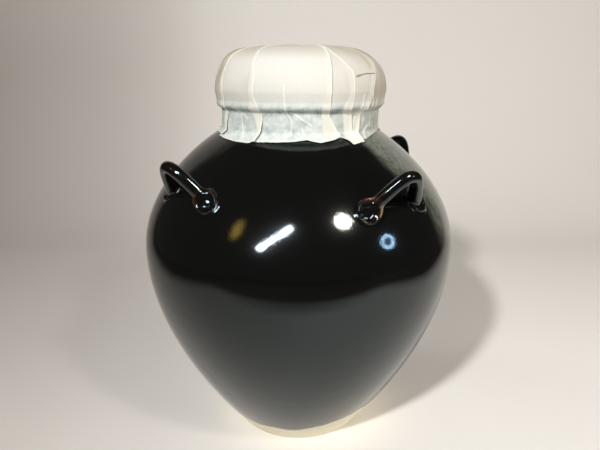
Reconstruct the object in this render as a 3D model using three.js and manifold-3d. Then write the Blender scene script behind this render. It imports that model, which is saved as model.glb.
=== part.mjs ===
// A glazed stoneware tea storage jar with four cord lugs and a wooden lid under pasted paper strips.
// Millimetres, +Z up. The origin is the middle of the foot. The front of the jar faces -Y.
import * as THREE from "three";
import { mergeVertices } from "three/addons/utils/BufferGeometryUtils.js";
import Module from "manifold-3d";

const wasm = await Module();
wasm.setup();

// Jar body
const FOOT_RADIUS = 54.2;
const FOOT_CHAMFER = 1.4;
const FOOT_FLARE_ANGLE = 53.5; // degrees above the table
const FOOT_FLARE_REACH = 63.4; // how far the wall keeps that slope
const BELLY_RADIUS = 120;
const BELLY_HEIGHT = 152;
const BELLY_ROUND_BELOW = 49;
const BELLY_ROUND_ABOVE = 44.5;
const SHOULDER_RADIUS = 62; // where the shoulder turns up into the neck
const SHOULDER_HEIGHT = 238.8;
const SHOULDER_SLOPE = 31.2; // degrees
const SHOULDER_REACH = 18.7;
const NECK_RADIUS = 58;
const NECK_HEIGHT = 16; // from the shoulder to the groove under the lip
const LIP_RADIUS = 61.9;
const LIP_DEPTH = 9.2; // from the groove to the rim
const LIP_SIDE = 2.6; // upright band at the lip's widest
const RIM_ROUND = 1.2;
const WALL = 6.5;
const FLOOR = 9;
const MOUTH_RADIUS = 51;

// Lugs
const LUG_ROOT_SHARE = 0.57; // of the way from the belly up to the shoulder's end
const LUG_SPAN = 39; // between the middles of the two roots
const LUG_RISE = 24.2; // from the line between the roots to the middle of the arch
const LUG_DRAW_IN = 14.6; // how far the legs draw in towards the bend
const LUG_LEAN = 56; // degrees above level
const LUG_ROD_RADIUS = 4.3;
const LUG_ROOT_RADIUS = 5.6; // the rod where it swells into its root
const LUG_SWELL_POWER = 4; // the higher, the nearer the root the swelling starts
const LUG_PAD_RADIUS = 7.9;
const LUG_PAD_HEIGHT = 6.2;
const LUTING_GAP = 0.3;
// Each lug, set by hand: its angle round the jar, how much higher it sits than the mean, and how far it tips
const LUGS = [
  { side: "front_left", angle: -47.2, set: 2.3, tip: 1 },
  { side: "front_right", angle: 36.8, set: -0.6, tip: 0 },
  { side: "back_right", angle: 127.3, set: 0.6, tip: 0 },
  { side: "back_left", angle: -143, set: -0.4, tip: 1.5 },
];

// Lid
const LID_RADIUS = 63;
const LID_RIM_RADIUS = 62.2; // at the underside
const LID_WIDEST = 4.6; // height of the widest line above the underside
const LID_TOP_RADIUS = 27;
const LID_HEIGHT = 34.4; // from the underside to the top
const LID_SIDE_ROUND = 18;
const LID_TOP_ROUND = 22;
const LID_SEAT_GAP = 0.3;
const PLUG_DEPTH = 11;
const PLUG_CLEARANCE = 1.2;
const PLUG_CHAMFER = 2;

// Paper seal
const PAPER = 0.4;
const PASTE_GAP = 0.35;
const STRIP_LAP = 6.5; // degrees that a strip lies over its neighbour
const LAP_RISE = 3.5; // degrees in which it climbs there
const LAP_MARGIN = 0.6; // degrees between the climb and the neighbour's edge
const STRIP_TOP_RADIUS = 13;
const CROWN_RADIUS = 24;
// Each strip: the angle of its free edge, how far its tail reaches on to the shoulder, and how much longer
// the tail is at the free edge than at the covered one
const STRIPS = [
  { edge: -60, tail: 1.8, skew: -1.2 },
  { edge: -28, tail: 3.2, skew: 3.6 },
  { edge: 19, tail: 2.6, skew: -1.6 },
  { edge: 35, tail: 4.2, skew: 5.2 },
  { edge: 53, tail: 3.4, skew: -4.6 },
  { edge: 88, tail: 3.0, skew: 1.8 },
  { edge: 122, tail: 2.4, skew: -2.2 },
  { edge: 157, tail: 3.8, skew: 1.4 },
  { edge: 190, tail: 2.2, skew: 2.4 },
  { edge: 224, tail: 3.6, skew: -1.6 },
  { edge: 262, tail: 2.6, skew: 1.2 },
];

// How finely round forms are cut
const TURN_SEGMENTS = 48;
const CROWN_SEGMENTS = 32;
const BELLY_STEPS = 9;
const SHOULDER_STEPS = 8;
const INSIDE_STEPS = 7;
const FILLET_STEPS = 3;
const LIP_STEPS = 3;
const LID_STEPS = 7;
const LUG_STEPS = 14;
const LUG_SIDES = 10;
const PAPER_STEP = 7.5; // degrees between the columns of a strip
const TAIL_ROWS = 2;

const GROOVE_HEIGHT = SHOULDER_HEIGHT + NECK_HEIGHT;
const RIM_HEIGHT = GROOVE_HEIGHT + LIP_DEPTH;
const LID_BASE = RIM_HEIGHT + LID_SEAT_GAP;
const LID_TOP = LID_BASE + LID_HEIGHT;
const LUG_ROOT_HEIGHT = BELLY_HEIGHT + LUG_ROOT_SHARE * (SHOULDER_HEIGHT - BELLY_HEIGHT);

const toRadians = THREE.MathUtils.degToRad;
const point = (radius, height) => new THREE.Vector2(radius, height);

function along(start, degrees, distance) {
  const angle = toRadians(degrees);
  return point(start.x + distance * Math.cos(angle), start.y + distance * Math.sin(angle));
}

function bow(a, b, c, d, steps) {
  return new THREE.CubicBezierCurve(a, b, c, d).getPoints(steps);
}

function joined(...runs) {
  return runs.flatMap((run, index) => (index === 0 ? run : run.slice(1)));
}

// Outside of the jar from the foot up to the end of the shoulder.
// Grown by the given amount for what has to clear it.
function wallRuns(grow = 0) {
  const foot = point(FOOT_RADIUS + grow, 0);
  const belly = point(BELLY_RADIUS + grow, BELLY_HEIGHT);
  const lift = grow * Math.cos(toRadians(SHOULDER_SLOPE));
  const shoulder = point(SHOULDER_RADIUS, SHOULDER_HEIGHT + lift);
  const below = point(belly.x, belly.y - BELLY_ROUND_BELOW);
  const above = point(belly.x, belly.y + BELLY_ROUND_ABOVE);
  const reach = along(shoulder, -SHOULDER_SLOPE, SHOULDER_REACH);
  return {
    belly: bow(foot, along(foot, FOOT_FLARE_ANGLE, FOOT_FLARE_REACH), below, belly, BELLY_STEPS),
    shoulder: bow(belly, above, reach, shoulder, SHOULDER_STEPS),
  };
}

// Shoulder, neck and lip, from the shoulder's end up to the rim
function neckRun() {
  const start = point(SHOULDER_RADIUS, SHOULDER_HEIGHT);
  const corner = SHOULDER_HEIGHT + (SHOULDER_RADIUS - NECK_RADIUS) * Math.tan(toRadians(SHOULDER_SLOPE));
  const turn = point(NECK_RADIUS, corner);
  const end = point(NECK_RADIUS, 2 * corner - SHOULDER_HEIGHT);
  const fillet = new THREE.QuadraticBezierCurve(start, turn, end);
  const groove = point(NECK_RADIUS, GROOVE_HEIGHT);
  const lipFoot = point(LIP_RADIUS, RIM_HEIGHT - RIM_ROUND - LIP_SIDE);
  const middle = (groove.y + lipFoot.y) / 2;
  const curl = bow(groove, point(groove.x, middle), point(lipFoot.x, middle), lipFoot, LIP_STEPS);
  const lipTop = point(LIP_RADIUS, RIM_HEIGHT - RIM_ROUND);
  return joined(fillet.getPoints(FILLET_STEPS), [end, groove], curl, [lipFoot, lipTop]);
}

function turned(profile, segments = TURN_SEGMENTS) {
  return new THREE.LatheGeometry(profile, segments).rotateX(Math.PI / 2);
}

function toSolid(geometry) {
  const bare = geometry.clone();
  bare.deleteAttribute("normal");
  bare.deleteAttribute("uv");
  const merged = mergeVertices(bare, 1e-4);
  const mesh = new wasm.Mesh({
    numProp: 3,
    vertProperties: new Float32Array(merged.attributes.position.array),
    triVerts: new Uint32Array(merged.index.array),
  });
  mesh.merge();
  return new wasm.Manifold(mesh);
}

function toGeometry(solid) {
  const mesh = solid.getMesh();
  const geometry = new THREE.BufferGeometry();
  geometry.setAttribute("position", new THREE.BufferAttribute(new Float32Array(mesh.vertProperties), 3));
  geometry.setIndex(new THREE.BufferAttribute(new Uint32Array(mesh.triVerts), 1));
  geometry.computeVertexNormals();
  return geometry;
}

function jarBody() {
  const { belly, shoulder } = wallRuns();
  const foot = [point(0, 0), point(FOOT_RADIUS - FOOT_CHAMFER, 0)];
  const flare = belly.slice(1);
  const rim = [point(LIP_RADIUS - RIM_ROUND, RIM_HEIGHT), point(MOUTH_RADIUS + RIM_ROUND, RIM_HEIGHT)];
  const throat = [point(MOUTH_RADIUS, RIM_HEIGHT - RIM_ROUND), point(MOUTH_RADIUS, SHOULDER_HEIGHT)];
  const hollow = point(BELLY_RADIUS - WALL, BELLY_HEIGHT);
  const floorEdge = point(FOOT_RADIUS - WALL, FLOOR);
  const underShoulder = bow(
    throat[1],
    along(throat[1], -SHOULDER_SLOPE, SHOULDER_REACH),
    point(hollow.x, hollow.y + BELLY_ROUND_ABOVE),
    hollow,
    INSIDE_STEPS,
  );
  const inside = bow(
    hollow,
    point(hollow.x, hollow.y - BELLY_ROUND_BELOW),
    along(floorEdge, FOOT_FLARE_ANGLE, FOOT_FLARE_REACH),
    floorEdge,
    INSIDE_STEPS,
  );
  const chamferTop = along(point(FOOT_RADIUS, 0), FOOT_FLARE_ANGLE, FOOT_CHAMFER);
  const outside = joined([...foot, chamferTop, ...flare], shoulder, neckRun());
  return turned([...outside, ...rim, throat[0], ...joined(underShoulder, inside), point(0, FLOOR)]);
}

// Middle line of a lug's rod, from root to root
function lugArch(middle, across, up) {
  const spot = (side, rise) => middle.clone().addScaledVector(across, side).addScaledVector(up, rise);
  const root = LUG_SPAN / 2;
  const bend = root - LUG_DRAW_IN;
  const reach = (LUG_RISE * 4) / 3; // a cubic curve rises three quarters of the way to its inner points
  return new THREE.CubicBezierCurve3(spot(-root, 0), spot(-bend, reach), spot(bend, reach), spot(root, 0));
}

// A rod that swells towards its ends
function swollenRod(curve) {
  const frames = curve.computeFrenetFrames(LUG_STEPS);
  const positions = [];
  const triangles = [];
  for (let step = 0; step <= LUG_STEPS; step++) {
    const t = step / LUG_STEPS;
    const swell = Math.abs(2 * t - 1) ** LUG_SWELL_POWER;
    const radius = LUG_ROD_RADIUS + (LUG_ROOT_RADIUS - LUG_ROD_RADIUS) * swell;
    const centre = curve.getPoint(t);
    for (let side = 0; side < LUG_SIDES; side++) {
      const turn = (2 * Math.PI * side) / LUG_SIDES;
      const spot = centre.clone();
      spot.addScaledVector(frames.normals[step], radius * Math.cos(turn));
      spot.addScaledVector(frames.binormals[step], radius * Math.sin(turn));
      positions.push(...spot.toArray());
    }
  }
  const ring = (step, side) => step * LUG_SIDES + (side % LUG_SIDES);
  for (let step = 0; step < LUG_STEPS; step++) {
    for (let side = 0; side < LUG_SIDES; side++) {
      triangles.push(ring(step, side), ring(step, side + 1), ring(step + 1, side + 1));
      triangles.push(ring(step, side), ring(step + 1, side + 1), ring(step + 1, side));
    }
  }
  for (let side = 1; side < LUG_SIDES - 1; side++) {
    triangles.push(ring(0, 0), ring(0, side + 1), ring(0, side));
    triangles.push(ring(LUG_STEPS, 0), ring(LUG_STEPS, side), ring(LUG_STEPS, side + 1));
  }
  const geometry = new THREE.BufferGeometry();
  geometry.setAttribute("position", new THREE.Float32BufferAttribute(positions, 3));
  geometry.setIndex(triangles);
  return geometry;
}

// Radius and outward direction of the shoulder at a height
function shoulderAt(height) {
  const run = wallRuns().shoulder;
  const upper = run.findIndex((spot) => spot.y > height);
  const [a, b] = [run[upper - 1], run[upper]];
  const share = (height - a.y) / (b.y - a.y);
  const slope = b.clone().sub(a).normalize();
  return { radius: a.x + share * (b.x - a.x), out: slope.y, lift: -slope.x };
}

// A clay loop: a rod bent in an arch, with pads at its ends that are pressed on to the shoulder
function lug({ angle, set, tip }, clearance) {
  const turn = toRadians(angle);
  const lean = toRadians(LUG_LEAN);
  const upright = new THREE.Vector3(0, 0, 1);
  const radial = new THREE.Vector3(Math.sin(turn), -Math.cos(turn), 0);
  const level = new THREE.Vector3(Math.cos(turn), Math.sin(turn), 0);
  const across = level.addScaledVector(upright, Math.tan(toRadians(tip))).normalize();
  const up = radial.clone().multiplyScalar(Math.cos(lean)).addScaledVector(upright, Math.sin(lean));
  const height = LUG_ROOT_HEIGHT + set;
  const seat = shoulderAt(height);
  const chord = Math.sqrt(seat.radius ** 2 - (LUG_SPAN / 2) ** 2);
  const middle = radial.clone().multiplyScalar(chord).addScaledVector(upright, height);
  let loop = toSolid(swollenRod(lugArch(middle, across, up)));
  for (const side of [-1, 1]) {
    const root = middle.clone().addScaledVector(across, (side * LUG_SPAN) / 2);
    const away = root.clone().setZ(0).normalize();
    const normal = away.multiplyScalar(seat.out).addScaledVector(upright, seat.lift);
    const pad = new THREE.SphereGeometry(LUG_PAD_RADIUS, LUG_SIDES, LUG_SIDES / 2 + 1);
    pad.scale(1, LUG_PAD_HEIGHT / LUG_PAD_RADIUS, 1);
    pad.applyQuaternion(new THREE.Quaternion().setFromUnitVectors(new THREE.Vector3(0, 1, 0), normal));
    pad.translate(root.x, root.y, root.z);
    loop = loop.add(toSolid(pad));
  }
  return toGeometry(loop.subtract(clearance));
}

// Outside of the lid from the edge of its flat top down to its underside
function lidSide() {
  const top = point(LID_TOP_RADIUS, LID_TOP);
  const widest = point(LID_RADIUS, LID_BASE + LID_WIDEST);
  const topReach = point(LID_TOP_RADIUS + LID_TOP_ROUND, LID_TOP);
  const sideReach = point(LID_RADIUS, widest.y + LID_SIDE_ROUND);
  return [...bow(top, topReach, sideReach, widest, LID_STEPS), point(LID_RIM_RADIUS, LID_BASE)];
}

function lidCore() {
  const plugRadius = MOUTH_RADIUS - PLUG_CLEARANCE;
  const plugFoot = LID_BASE - PLUG_DEPTH;
  const plug = [
    point(0, plugFoot),
    point(plugRadius - PLUG_CHAMFER, plugFoot),
    point(plugRadius, plugFoot + PLUG_CHAMFER),
    point(plugRadius, LID_BASE),
  ];
  return turned([...plug, ...lidSide().reverse(), point(0, LID_TOP)]);
}

// Stations on a profile with the direction that points out of it
function stations(profile) {
  return profile.map((spot, index) => {
    const before = profile[Math.max(index - 1, 0)];
    const after = profile[Math.min(index + 1, profile.length - 1)];
    const run = after.clone().sub(before).normalize();
    return { radius: spot.x, height: spot.y, out: -run.y, lift: run.x };
  });
}

function lidStations() {
  return stations([point(STRIP_TOP_RADIUS, LID_TOP), ...lidSide()]);
}

// Down over the lip and neck, then out on the shoulder as far as the tail reaches
function neckStations(tail) {
  const neck = neckRun().reverse();
  const shoulder = wallRuns().shoulder.reverse();
  const last = shoulder[0];
  const slope = shoulder[1].clone().sub(last).normalize();
  const tailRun = [];
  for (let row = 1; row <= TAIL_ROWS; row++) {
    tailRun.push(last.clone().addScaledVector(slope, (tail * row) / TAIL_ROWS));
  }
  return stations([...neck, ...tailRun]);
}

// Angles across a strip, from the edge under its neighbour to its free edge, with the height of each
function stripColumns(index) {
  const edge = STRIPS[index].edge;
  const before = index === 0 ? STRIPS.at(-1).edge - 360 : STRIPS[index - 1].edge;
  const start = before - STRIP_LAP;
  const climbed = edge - STRIP_LAP - LAP_MARGIN;
  const climb = climbed - LAP_RISE;
  const columns = [];
  const spread = (from, to, low, high) => {
    const steps = Math.max(1, Math.ceil((to - from) / PAPER_STEP));
    for (let step = 0; step < steps; step++) {
      const share = step / steps;
      columns.push({ angle: from + share * (to - from), rise: low + share * (high - low) });
    }
  };
  const layer = PAPER + PASTE_GAP;
  spread(start, climb, PASTE_GAP, PASTE_GAP);
  spread(climb, climbed, PASTE_GAP, PASTE_GAP + layer);
  spread(climbed, edge, PASTE_GAP + layer, PASTE_GAP + layer);
  columns.push({ angle: edge, rise: PASTE_GAP + layer });
  return columns;
}

// A closed thin sheet. Each column is a run of stations at one angle and one height above the surface.
function paperSheet(columns) {
  const rows = columns[0].run.length;
  const positions = [];
  const triangles = [];
  for (const rise of [0, PAPER]) {
    for (const column of columns) {
      const angle = toRadians(column.angle);
      for (const station of column.run) {
        const radius = station.radius + station.out * (column.rise + rise);
        const height = station.height + station.lift * (column.rise + rise);
        positions.push(radius * Math.sin(angle), -radius * Math.cos(angle), height);
      }
    }
  }
  const under = (column, row) => column * rows + row;
  const over = (column, row) => under(column + columns.length, row);
  const quad = (a, b, c, d) => triangles.push(a, b, c, a, c, d);
  const lastRow = rows - 1;
  const lastColumn = columns.length - 1;
  for (let c = 0; c < lastColumn; c++) {
    for (let r = 0; r < lastRow; r++) {
      quad(over(c, r), over(c, r + 1), over(c + 1, r + 1), over(c + 1, r));
      quad(under(c, r), under(c + 1, r), under(c + 1, r + 1), under(c, r + 1));
    }
    quad(under(c, 0), over(c, 0), over(c + 1, 0), under(c + 1, 0));
    quad(under(c, lastRow), under(c + 1, lastRow), over(c + 1, lastRow), over(c, lastRow));
  }
  for (let r = 0; r < lastRow; r++) {
    quad(under(0, r), under(0, r + 1), over(0, r + 1), over(0, r));
    quad(under(lastColumn, r), over(lastColumn, r), over(lastColumn, r + 1), under(lastColumn, r + 1));
  }
  const geometry = new THREE.BufferGeometry();
  geometry.setAttribute("position", new THREE.Float32BufferAttribute(positions, 3));
  geometry.setIndex(triangles);
  geometry.computeVertexNormals();
  return geometry;
}

function lidStrip(index) {
  const run = lidStations();
  return paperSheet(stripColumns(index).map((column) => ({ ...column, run })));
}

function neckStrip(index) {
  const { tail, skew } = STRIPS[index];
  const columns = stripColumns(index);
  const start = columns[0].angle;
  const width = columns.at(-1).angle - start;
  return paperSheet(
    columns.map((column) => {
      const share = (column.angle - start) / width;
      return { ...column, run: neckStations(tail + skew * (share - 0.5)) };
    }),
  );
}

function crownPaper() {
  const underside = LID_TOP + 2 * PAPER + 3 * PASTE_GAP;
  const profile = [
    point(0, underside),
    point(CROWN_RADIUS, underside),
    point(CROWN_RADIUS, underside + PAPER),
    point(0, underside + PAPER),
  ];
  return turned(profile, CROWN_SEGMENTS);
}

const finish = (color, roughness) => new THREE.MeshStandardMaterial({ color, roughness, metalness: 0 });

const object = new THREE.Group();
function place(name, geometry, material) {
  const mesh = new THREE.Mesh(geometry, material);
  mesh.name = name;
  object.add(mesh);
}

place("jar_body", jarBody(), finish("#121211", 0.08));
const { belly, shoulder } = wallRuns(LUTING_GAP);
const clearance = toSolid(turned([point(0, 0), ...joined(belly, shoulder), point(0, shoulder.at(-1).y)]));
for (const setting of LUGS) {
  place(`lug_${setting.side}`, lug(setting, clearance), finish("#1d1411", 0.1));
}
place("lid_core", lidCore(), finish("#c9a878", 0.6));
place("lid_crown_paper", crownPaper(), finish("#f4efe2", 0.9));
STRIPS.forEach((strip, index) => {
  const number = String(index + 1).padStart(2, "0");
  place(`lid_strip_${number}`, lidStrip(index), finish("#f3eee0", 0.9));
  place(`neck_strip_${number}`, neckStrip(index), finish("#dfe0da", 0.9));
});

export default object;
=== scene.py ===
"""A glazed stoneware tea storage jar with cord lugs and a paper-sealed wooden lid, dressed on its frame."""

import math
from functools import partial

import bpy
from bpy.props import FloatProperty, FloatVectorProperty, IntProperty, PointerProperty
from mathutils import Matrix, Vector, noise


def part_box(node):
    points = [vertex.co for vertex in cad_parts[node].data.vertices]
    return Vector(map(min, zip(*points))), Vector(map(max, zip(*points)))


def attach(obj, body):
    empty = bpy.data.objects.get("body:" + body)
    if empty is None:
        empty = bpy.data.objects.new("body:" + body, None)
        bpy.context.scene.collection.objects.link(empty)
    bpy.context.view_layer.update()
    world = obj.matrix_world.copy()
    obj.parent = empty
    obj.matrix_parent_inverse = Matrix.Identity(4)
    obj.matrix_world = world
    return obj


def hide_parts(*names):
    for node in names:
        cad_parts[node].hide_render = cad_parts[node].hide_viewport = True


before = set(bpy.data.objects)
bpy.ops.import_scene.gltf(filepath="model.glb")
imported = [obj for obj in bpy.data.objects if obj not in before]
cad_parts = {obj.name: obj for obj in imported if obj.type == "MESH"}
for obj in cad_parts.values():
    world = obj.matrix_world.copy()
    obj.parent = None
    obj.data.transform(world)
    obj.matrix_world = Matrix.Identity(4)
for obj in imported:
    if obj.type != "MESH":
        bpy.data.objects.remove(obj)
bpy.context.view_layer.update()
JAR_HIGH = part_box("jar_body")[1]
LID_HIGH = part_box("lid_core")[1]

bl_info = {
    "name": "Tea storage jar",
    "version": (1, 0, 0),
    "blender": (4, 5, 0),
    "location": "View3D > Sidebar > Tea jar",
    "description": "Models a lugged stoneware tea jar with a paper-sealed lid",
    "category": "Add Mesh",
}

MM = 0.001
LUG_NAMES = ("front_left", "front_right", "back_right", "back_left")

# Free edge of each paper strip as height in mm and angle in degrees, measured from the front to the right.
# A strip's free edge lies over the next strip.
STRIP_EDGES = (
    ((299, -63), (284, -60), (272, -58), (256, -57.5), (248, -60), (240, -58)),
    ((299, -38), (292, -33), (280, -28.8), (266, -29), (258, -26), (252, -24.8), (238, -26)),
    ((299, 22), (287, 20), (278, 18.5), (259, 18), (254, 19), (247, 23), (240, 26.4)),
    ((299, 24), (294, 25), (289.5, 28.5), (282, 34), (264, 34.2), (258.7, 33), (254, 35.5), (242, 37)),
    (
        (299, 54), (293, 60), (287, 61), (281, 56), (272, 51.5), (262, 49.6), (254, 43.5), (245, 43),
        (238, 40.5),
    ),
    ((299, 90), (280, 87), (262, 89), (240, 86)),
    ((299, 124), (276, 121), (258, 122), (240, 125)),
    ((299, 155), (278, 157), (256, 158), (240, 155)),
    ((299, 192), (280, 190), (262, 188), (240, 191)),
    ((299, 226), (278, 224), (256, 222), (240, 225)),
    ((299, 260), (282, 262), (258, 263), (240, 261)),
)
# Torn end of each strip: angle in degrees and how far in mm it reaches past the neck's foot
STRIP_ENDS = (
    ((-102, 0.6), (-90, 0.5), (-78, -0.8), (-66, -0.5), (-57, 1.0)),
    ((-66, 1.0), (-54, 2.9), (-41, 4.4), (-31, 4.9), (-24, 4.2)),
    ((-34, 3.0), (-24, 3.3), (-11, 2.6), (-2, 1.6), (5.4, 0.1), (8, 1.6), (12.4, 3.4), (19, 1.9), (27, -0.6)),
    ((18, 0.4), (24, -0.4), (28, -0.9), (31.4, 2.6), (32.4, 7.0), (37, 6.8), (41, 6.2)),
    ((30, 2.0), (36, 5.6), (41, 6.4), (42, 3.4), (47.6, 2.6), (55, -1.2)),
    ((35, 1.6), (45, 2.8), (52, 0.4), (58, -1.0), (63, -1.8), (72, -2.8), (80, -3.5), (90, -3.0)),
    ((80, -2.5), (94, 1.6), (108, 2.0), (126, 4.4)),
    ((114, 3.2), (128, 1.2), (144, 3.8), (159, 2.4)),
    ((148, 2.2), (166, 4.6), (180, 2.6), (193, 1.0)),
    ((184, 3.4), (200, 1.8), (214, 4.0), (228, 3.0)),
    ((216, 1.2), (232, 3.8), (246, 2.0), (265, 0.6)),
)
# Folds pressed into the paper while it was wet, as angle in degrees and height in mm
FOLDS = (
    ((-9.7, 274), (-10, 263), (-8.8, 256.3), (-5.7, 251), (-5.4, 241)),
    ((-6.5, 257), (-0.1, 252.6), (7.3, 248)),
    ((1.4, 246), (4.7, 239)),
    ((-44.7, 257.3), (-37, 251.5)),
    ((-43.4, 254.2), (-39.9, 240)),
    ((42.3, 267.4), (42.9, 262), (39.7, 256), (38.2, 250), (38.2, 240)),
    ((47.5, 262), (46.6, 256), (48.8, 249)),
    ((50.5, 268), (53, 262), (51, 257)),
    ((58, 264), (55.5, 254), (57, 245)),
    ((53.3, 246), (46, 238)),
    ((71, 262), (68, 252), (70, 240)),
    ((104, 268), (106, 256), (101, 243)),
    ((132, 258), (139, 250)),
    ((148, 256), (146, 241)),
    ((172, 266), (171, 254), (176, 242)),
    ((205, 257), (211, 247)),
    ((238, 264), (240, 252), (235, 241)),
    ((250, 256), (247, 240)),
    ((-84, 262), (-86, 250), (-82, 240)),
)
# A short slit where dried paper has pulled apart on the lid, and the strip that it is in
SLIT_STRIP = 4
SLIT = ((36.6, 278.9), (39, 279.4), (43.5, 280.3), (48, 280.6), (55, 280.4))
# Painted shadow along a free edge that stands off: the strip, its lowest and highest point in mm, and how
# dark the shadow is;
# and how wide the painted shadow lies in mm
EDGE_SHADOW_LINES = ((1, 237, 250, 0.75), (2, 259, 291, 0.8), (4, 246, 262, 0.4))
EDGE_SHADOW_WIDTH = 0.6
# How many degrees each strip covers of the next one on the lip and at its torn end
STRIP_LAPS = ((8, 6), (7.6, 2), (4.6, 9.6), (6, 6), (5, 5), (6, 6), (7, 5), (6, 8), (5, 6), (7, 7), (6, 6))
# How far each strip has yellowed on the lid and on the neck, with painted shade: the strips at the lid's left
# and right sides are darkened for the shade that falls on them
STRIP_TONES_AND_SHADE = (
    (2.0, 1.0), (0.55, 0.5), (0.0, 0.1), (0.45, 0.5), (0.6, 1.0), (1.5, 1.4), (0.4, 0.7), (0.2, 0.5),
    (0.55, 0.6), (0.3, 0.5), (0.45, 0.5),
)
# Brownish patches on the lid, painted as the shade of wrinkles: angle in degrees, height and radius in mm,
# and strength
WRINKLE_SHADE_PATCHES = ((54, 288, 4, 0.6), (53, 270, 5, 0.5))
# How much of the black glaze shows through one layer of paper, with painted shade under the lip's overhang
# where it
# is darkest: height in mm and share
SHOW_THROUGH_AND_SHADE = (
    (237, 0.6), (243, 0.66), (249, 0.64), (253, 0.66), (256, 0.97), (258.5, 0.84), (261, 0.4), (264, 0.15),
    (267, 0.03), (270, 0.0),
)
# Bands of height in mm over which the paper changes, each from its start to its end: painted shade on the
# lid's top, second layers, laps, yellowing, lifted edges, puckers, loose tails and torn corners
SHADED_TOP_BAND = (288, 297)
DOUBLE_BAND = (286, 260)
LAP_BAND = (266, 257)
LAP_END_BAND = (258, 240)
TONE_BAND = (264, 256)
EDGE_BAND = (264, 257)
PUCKER_BAND = (262, 252)
LOOSE_BAND = (256, 250)
TORN_BAND = (253, 241)
# Where the paper stands off the lid's corner: angle in degrees, height in mm, and its reach in degrees and mm
CORNER = (-84, 292, 26, 6.5)
# The strips' first angle in degrees, and how many mm a degree is at the paper's mean radius of 61 mm
FIRST_TURN = -98
DEGREE = math.radians(61)
# What the paper's material reads at each vertex: glaze behind it and painted shade under the lip, a second
# layer, folds and painted highlights on free edges, painted shade in slits and under lifted edges, and
# yellowing and painted shade
PAPER_MARKS = ("backing_and_shade", "layers", "fold", "painted_gap_shade", "tone")
# Gap that the paste leaves between two layers of paper, depth of the slit and curl of the free edges
LAYER_GAP = 0.08 * MM
SLIT_DEPTH = 0.15 * MM
EDGE_CURL = 0.25 * MM
# Degrees over which a strip climbs on to the next one, and over which its look changes there
LAP_RAMP = 1.1
LAP_LINE = 0.3
# Heights in mm of the lip, where strips are measured, and of the neck, where the search for a place starts
LIP_LEVEL = 262
NECK_LEVEL = 250
# Degrees of one column of a strip's grid and its rows, on the lid, on the strip with the slit and on the neck
LID_COLUMN = 0.6
LID_ROWS = 84
SLIT_ROWS = 150
NECK_COLUMN = 0.5
NECK_ROWS = 64
# Steps down the lid's side to its widest place and from there to its underside, and facets round the lid
LID_STEPS = 44
RIM_STEPS = 5
LID_SEGMENTS = 144
# Steps from the middle of the round paper to its rim, and facets round it
CROWN_STEPS = 24
CROWN_SEGMENTS = 160
# Heights in metres between which the neck leans over
LEAN_BAND = (0.232, 0.258)
# Facets of a lug's pads and rims, the cuts in its rod, and the voxels that join them
LUG_FACETS = 40
LUG_RINGS = 24
ROD_CUTS = 11
LUG_VOXEL = 0.5 * MM
# How plump each lug's two pads are, and how far the glaze has worn off their rims
LUG_WEAR = ((0.1, 1.0), (1.0, 0.1), (0.6, 0.3), (0.5, 0.4))
# The wear from which a pad starts to show a thumb's dent, the wear at which it is all there, and its depth
THUMBED = (0.4, 1.0)
THUMB_DEPTH = 3.4 * MM
# The ash run on the shoulder: the angles in degrees and the height in mm that it stays within, its left limit
# as height and angle, and its drips as angle and height
ASH_TURNS = (20, 165)
ASH_TOP = 242
ASH_LEFT = ((240, 36), (233, 41), (222.6, 43.5), (215.5, 46.8), (191, 54.6), (160, 57), (120, 62))
ASH_FOOT = (
    (44, 214), (50, 196), (57, 150), (61, 176), (70, 142), (77, 168), (88, 120), (98, 160), (112, 132),
    (122, 178), (134, 160), (146, 205), (160, 232),
)
# Where the glaze stops above the foot: angle in degrees and height in mm
GLAZE_LINE = (
    (-180, 17), (-130, 16), (-90, 19), (-60, 19), (-41, 16.5), (-2, 16.5), (27.5, 25), (40, 29.5), (62, 31),
    (90, 26), (125, 21), (155, 19), (180, 17),
)
# Height of the throwing rings and depth of the slow unevenness in the jar's wall
RING_HEIGHT = 0.01 * MM
SWAY = 0.04 * MM
# Painted shade on the sheet: how pale it is from its left to its right as place in mm and share, the reach of
# that in metres, and how far the shade slants
SHEET_SHADE = ((-500, 0.15), (-290, 0.33), (-230, 0.4), (-130, 0.58), (-40, 0.84), (60, 0.96), (150, 1.0))
SHADE_REACH = 0.6
SHADE_SLANT = 0.2
# The first two places of the sheet's profile, in metres in front of the jar, and the steps of its bend behind
SHEET_FRONT = (-1.6, -0.8)
BEND_STEPS = 12
# The front and side edges of the sheet fade into the table over these distances in metres, a painted falloff
# of the light
FRONT_FADE = (-0.07, 0.06)
SIDE_FADE = (-0.12, 0.08)
# Kinds of node that the materials use most
ATTRIBUTE = "ShaderNodeAttribute"
MAPPING = "ShaderNodeMapping"
NOISE = "ShaderNodeTexNoise"
RANGE = "ShaderNodeMapRange"
MATH = "ShaderNodeMath"
MIX = "ShaderNodeMix"
BUMP = "ShaderNodeBump"
# Middle of the round lamps at the right, and the point that all lamps face
BULB = (0.548, -0.688, 0.955)
LAMP_AIM = Vector((0, 0, 0.18))


def linear(colour):
    """An sRGB hex colour as linear red, green and blue."""
    parts = [int(colour[i : i + 2], 16) / 255 for i in (1, 3, 5)]
    return tuple(c / 12.92 if c <= 0.04045 else ((c + 0.055) / 1.055) ** 2.4 for c in parts)


def length(name, description, millimetres):
    """A size in metres from its value in millimetres."""
    size = millimetres * MM
    return FloatProperty(name=name, description=description, default=size, unit="LENGTH", precision=5)


def angle(name, description, degrees):
    """An angle from its value in degrees."""
    return FloatProperty(name=name, description=description, default=math.radians(degrees), subtype="ANGLE")


def angles(name, description, degrees):
    """One angle for each lug, from values in degrees."""
    turns = [math.radians(turn) for turn in degrees]
    return FloatVectorProperty(name=name, description=description, default=turns, size=4, subtype="EULER")


def colour(name, description, shade):
    """A colour from its sRGB hex value."""
    rgb = linear(shade)
    return FloatVectorProperty(name=name, description=description, default=rgb, size=3, subtype="COLOR")


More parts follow.
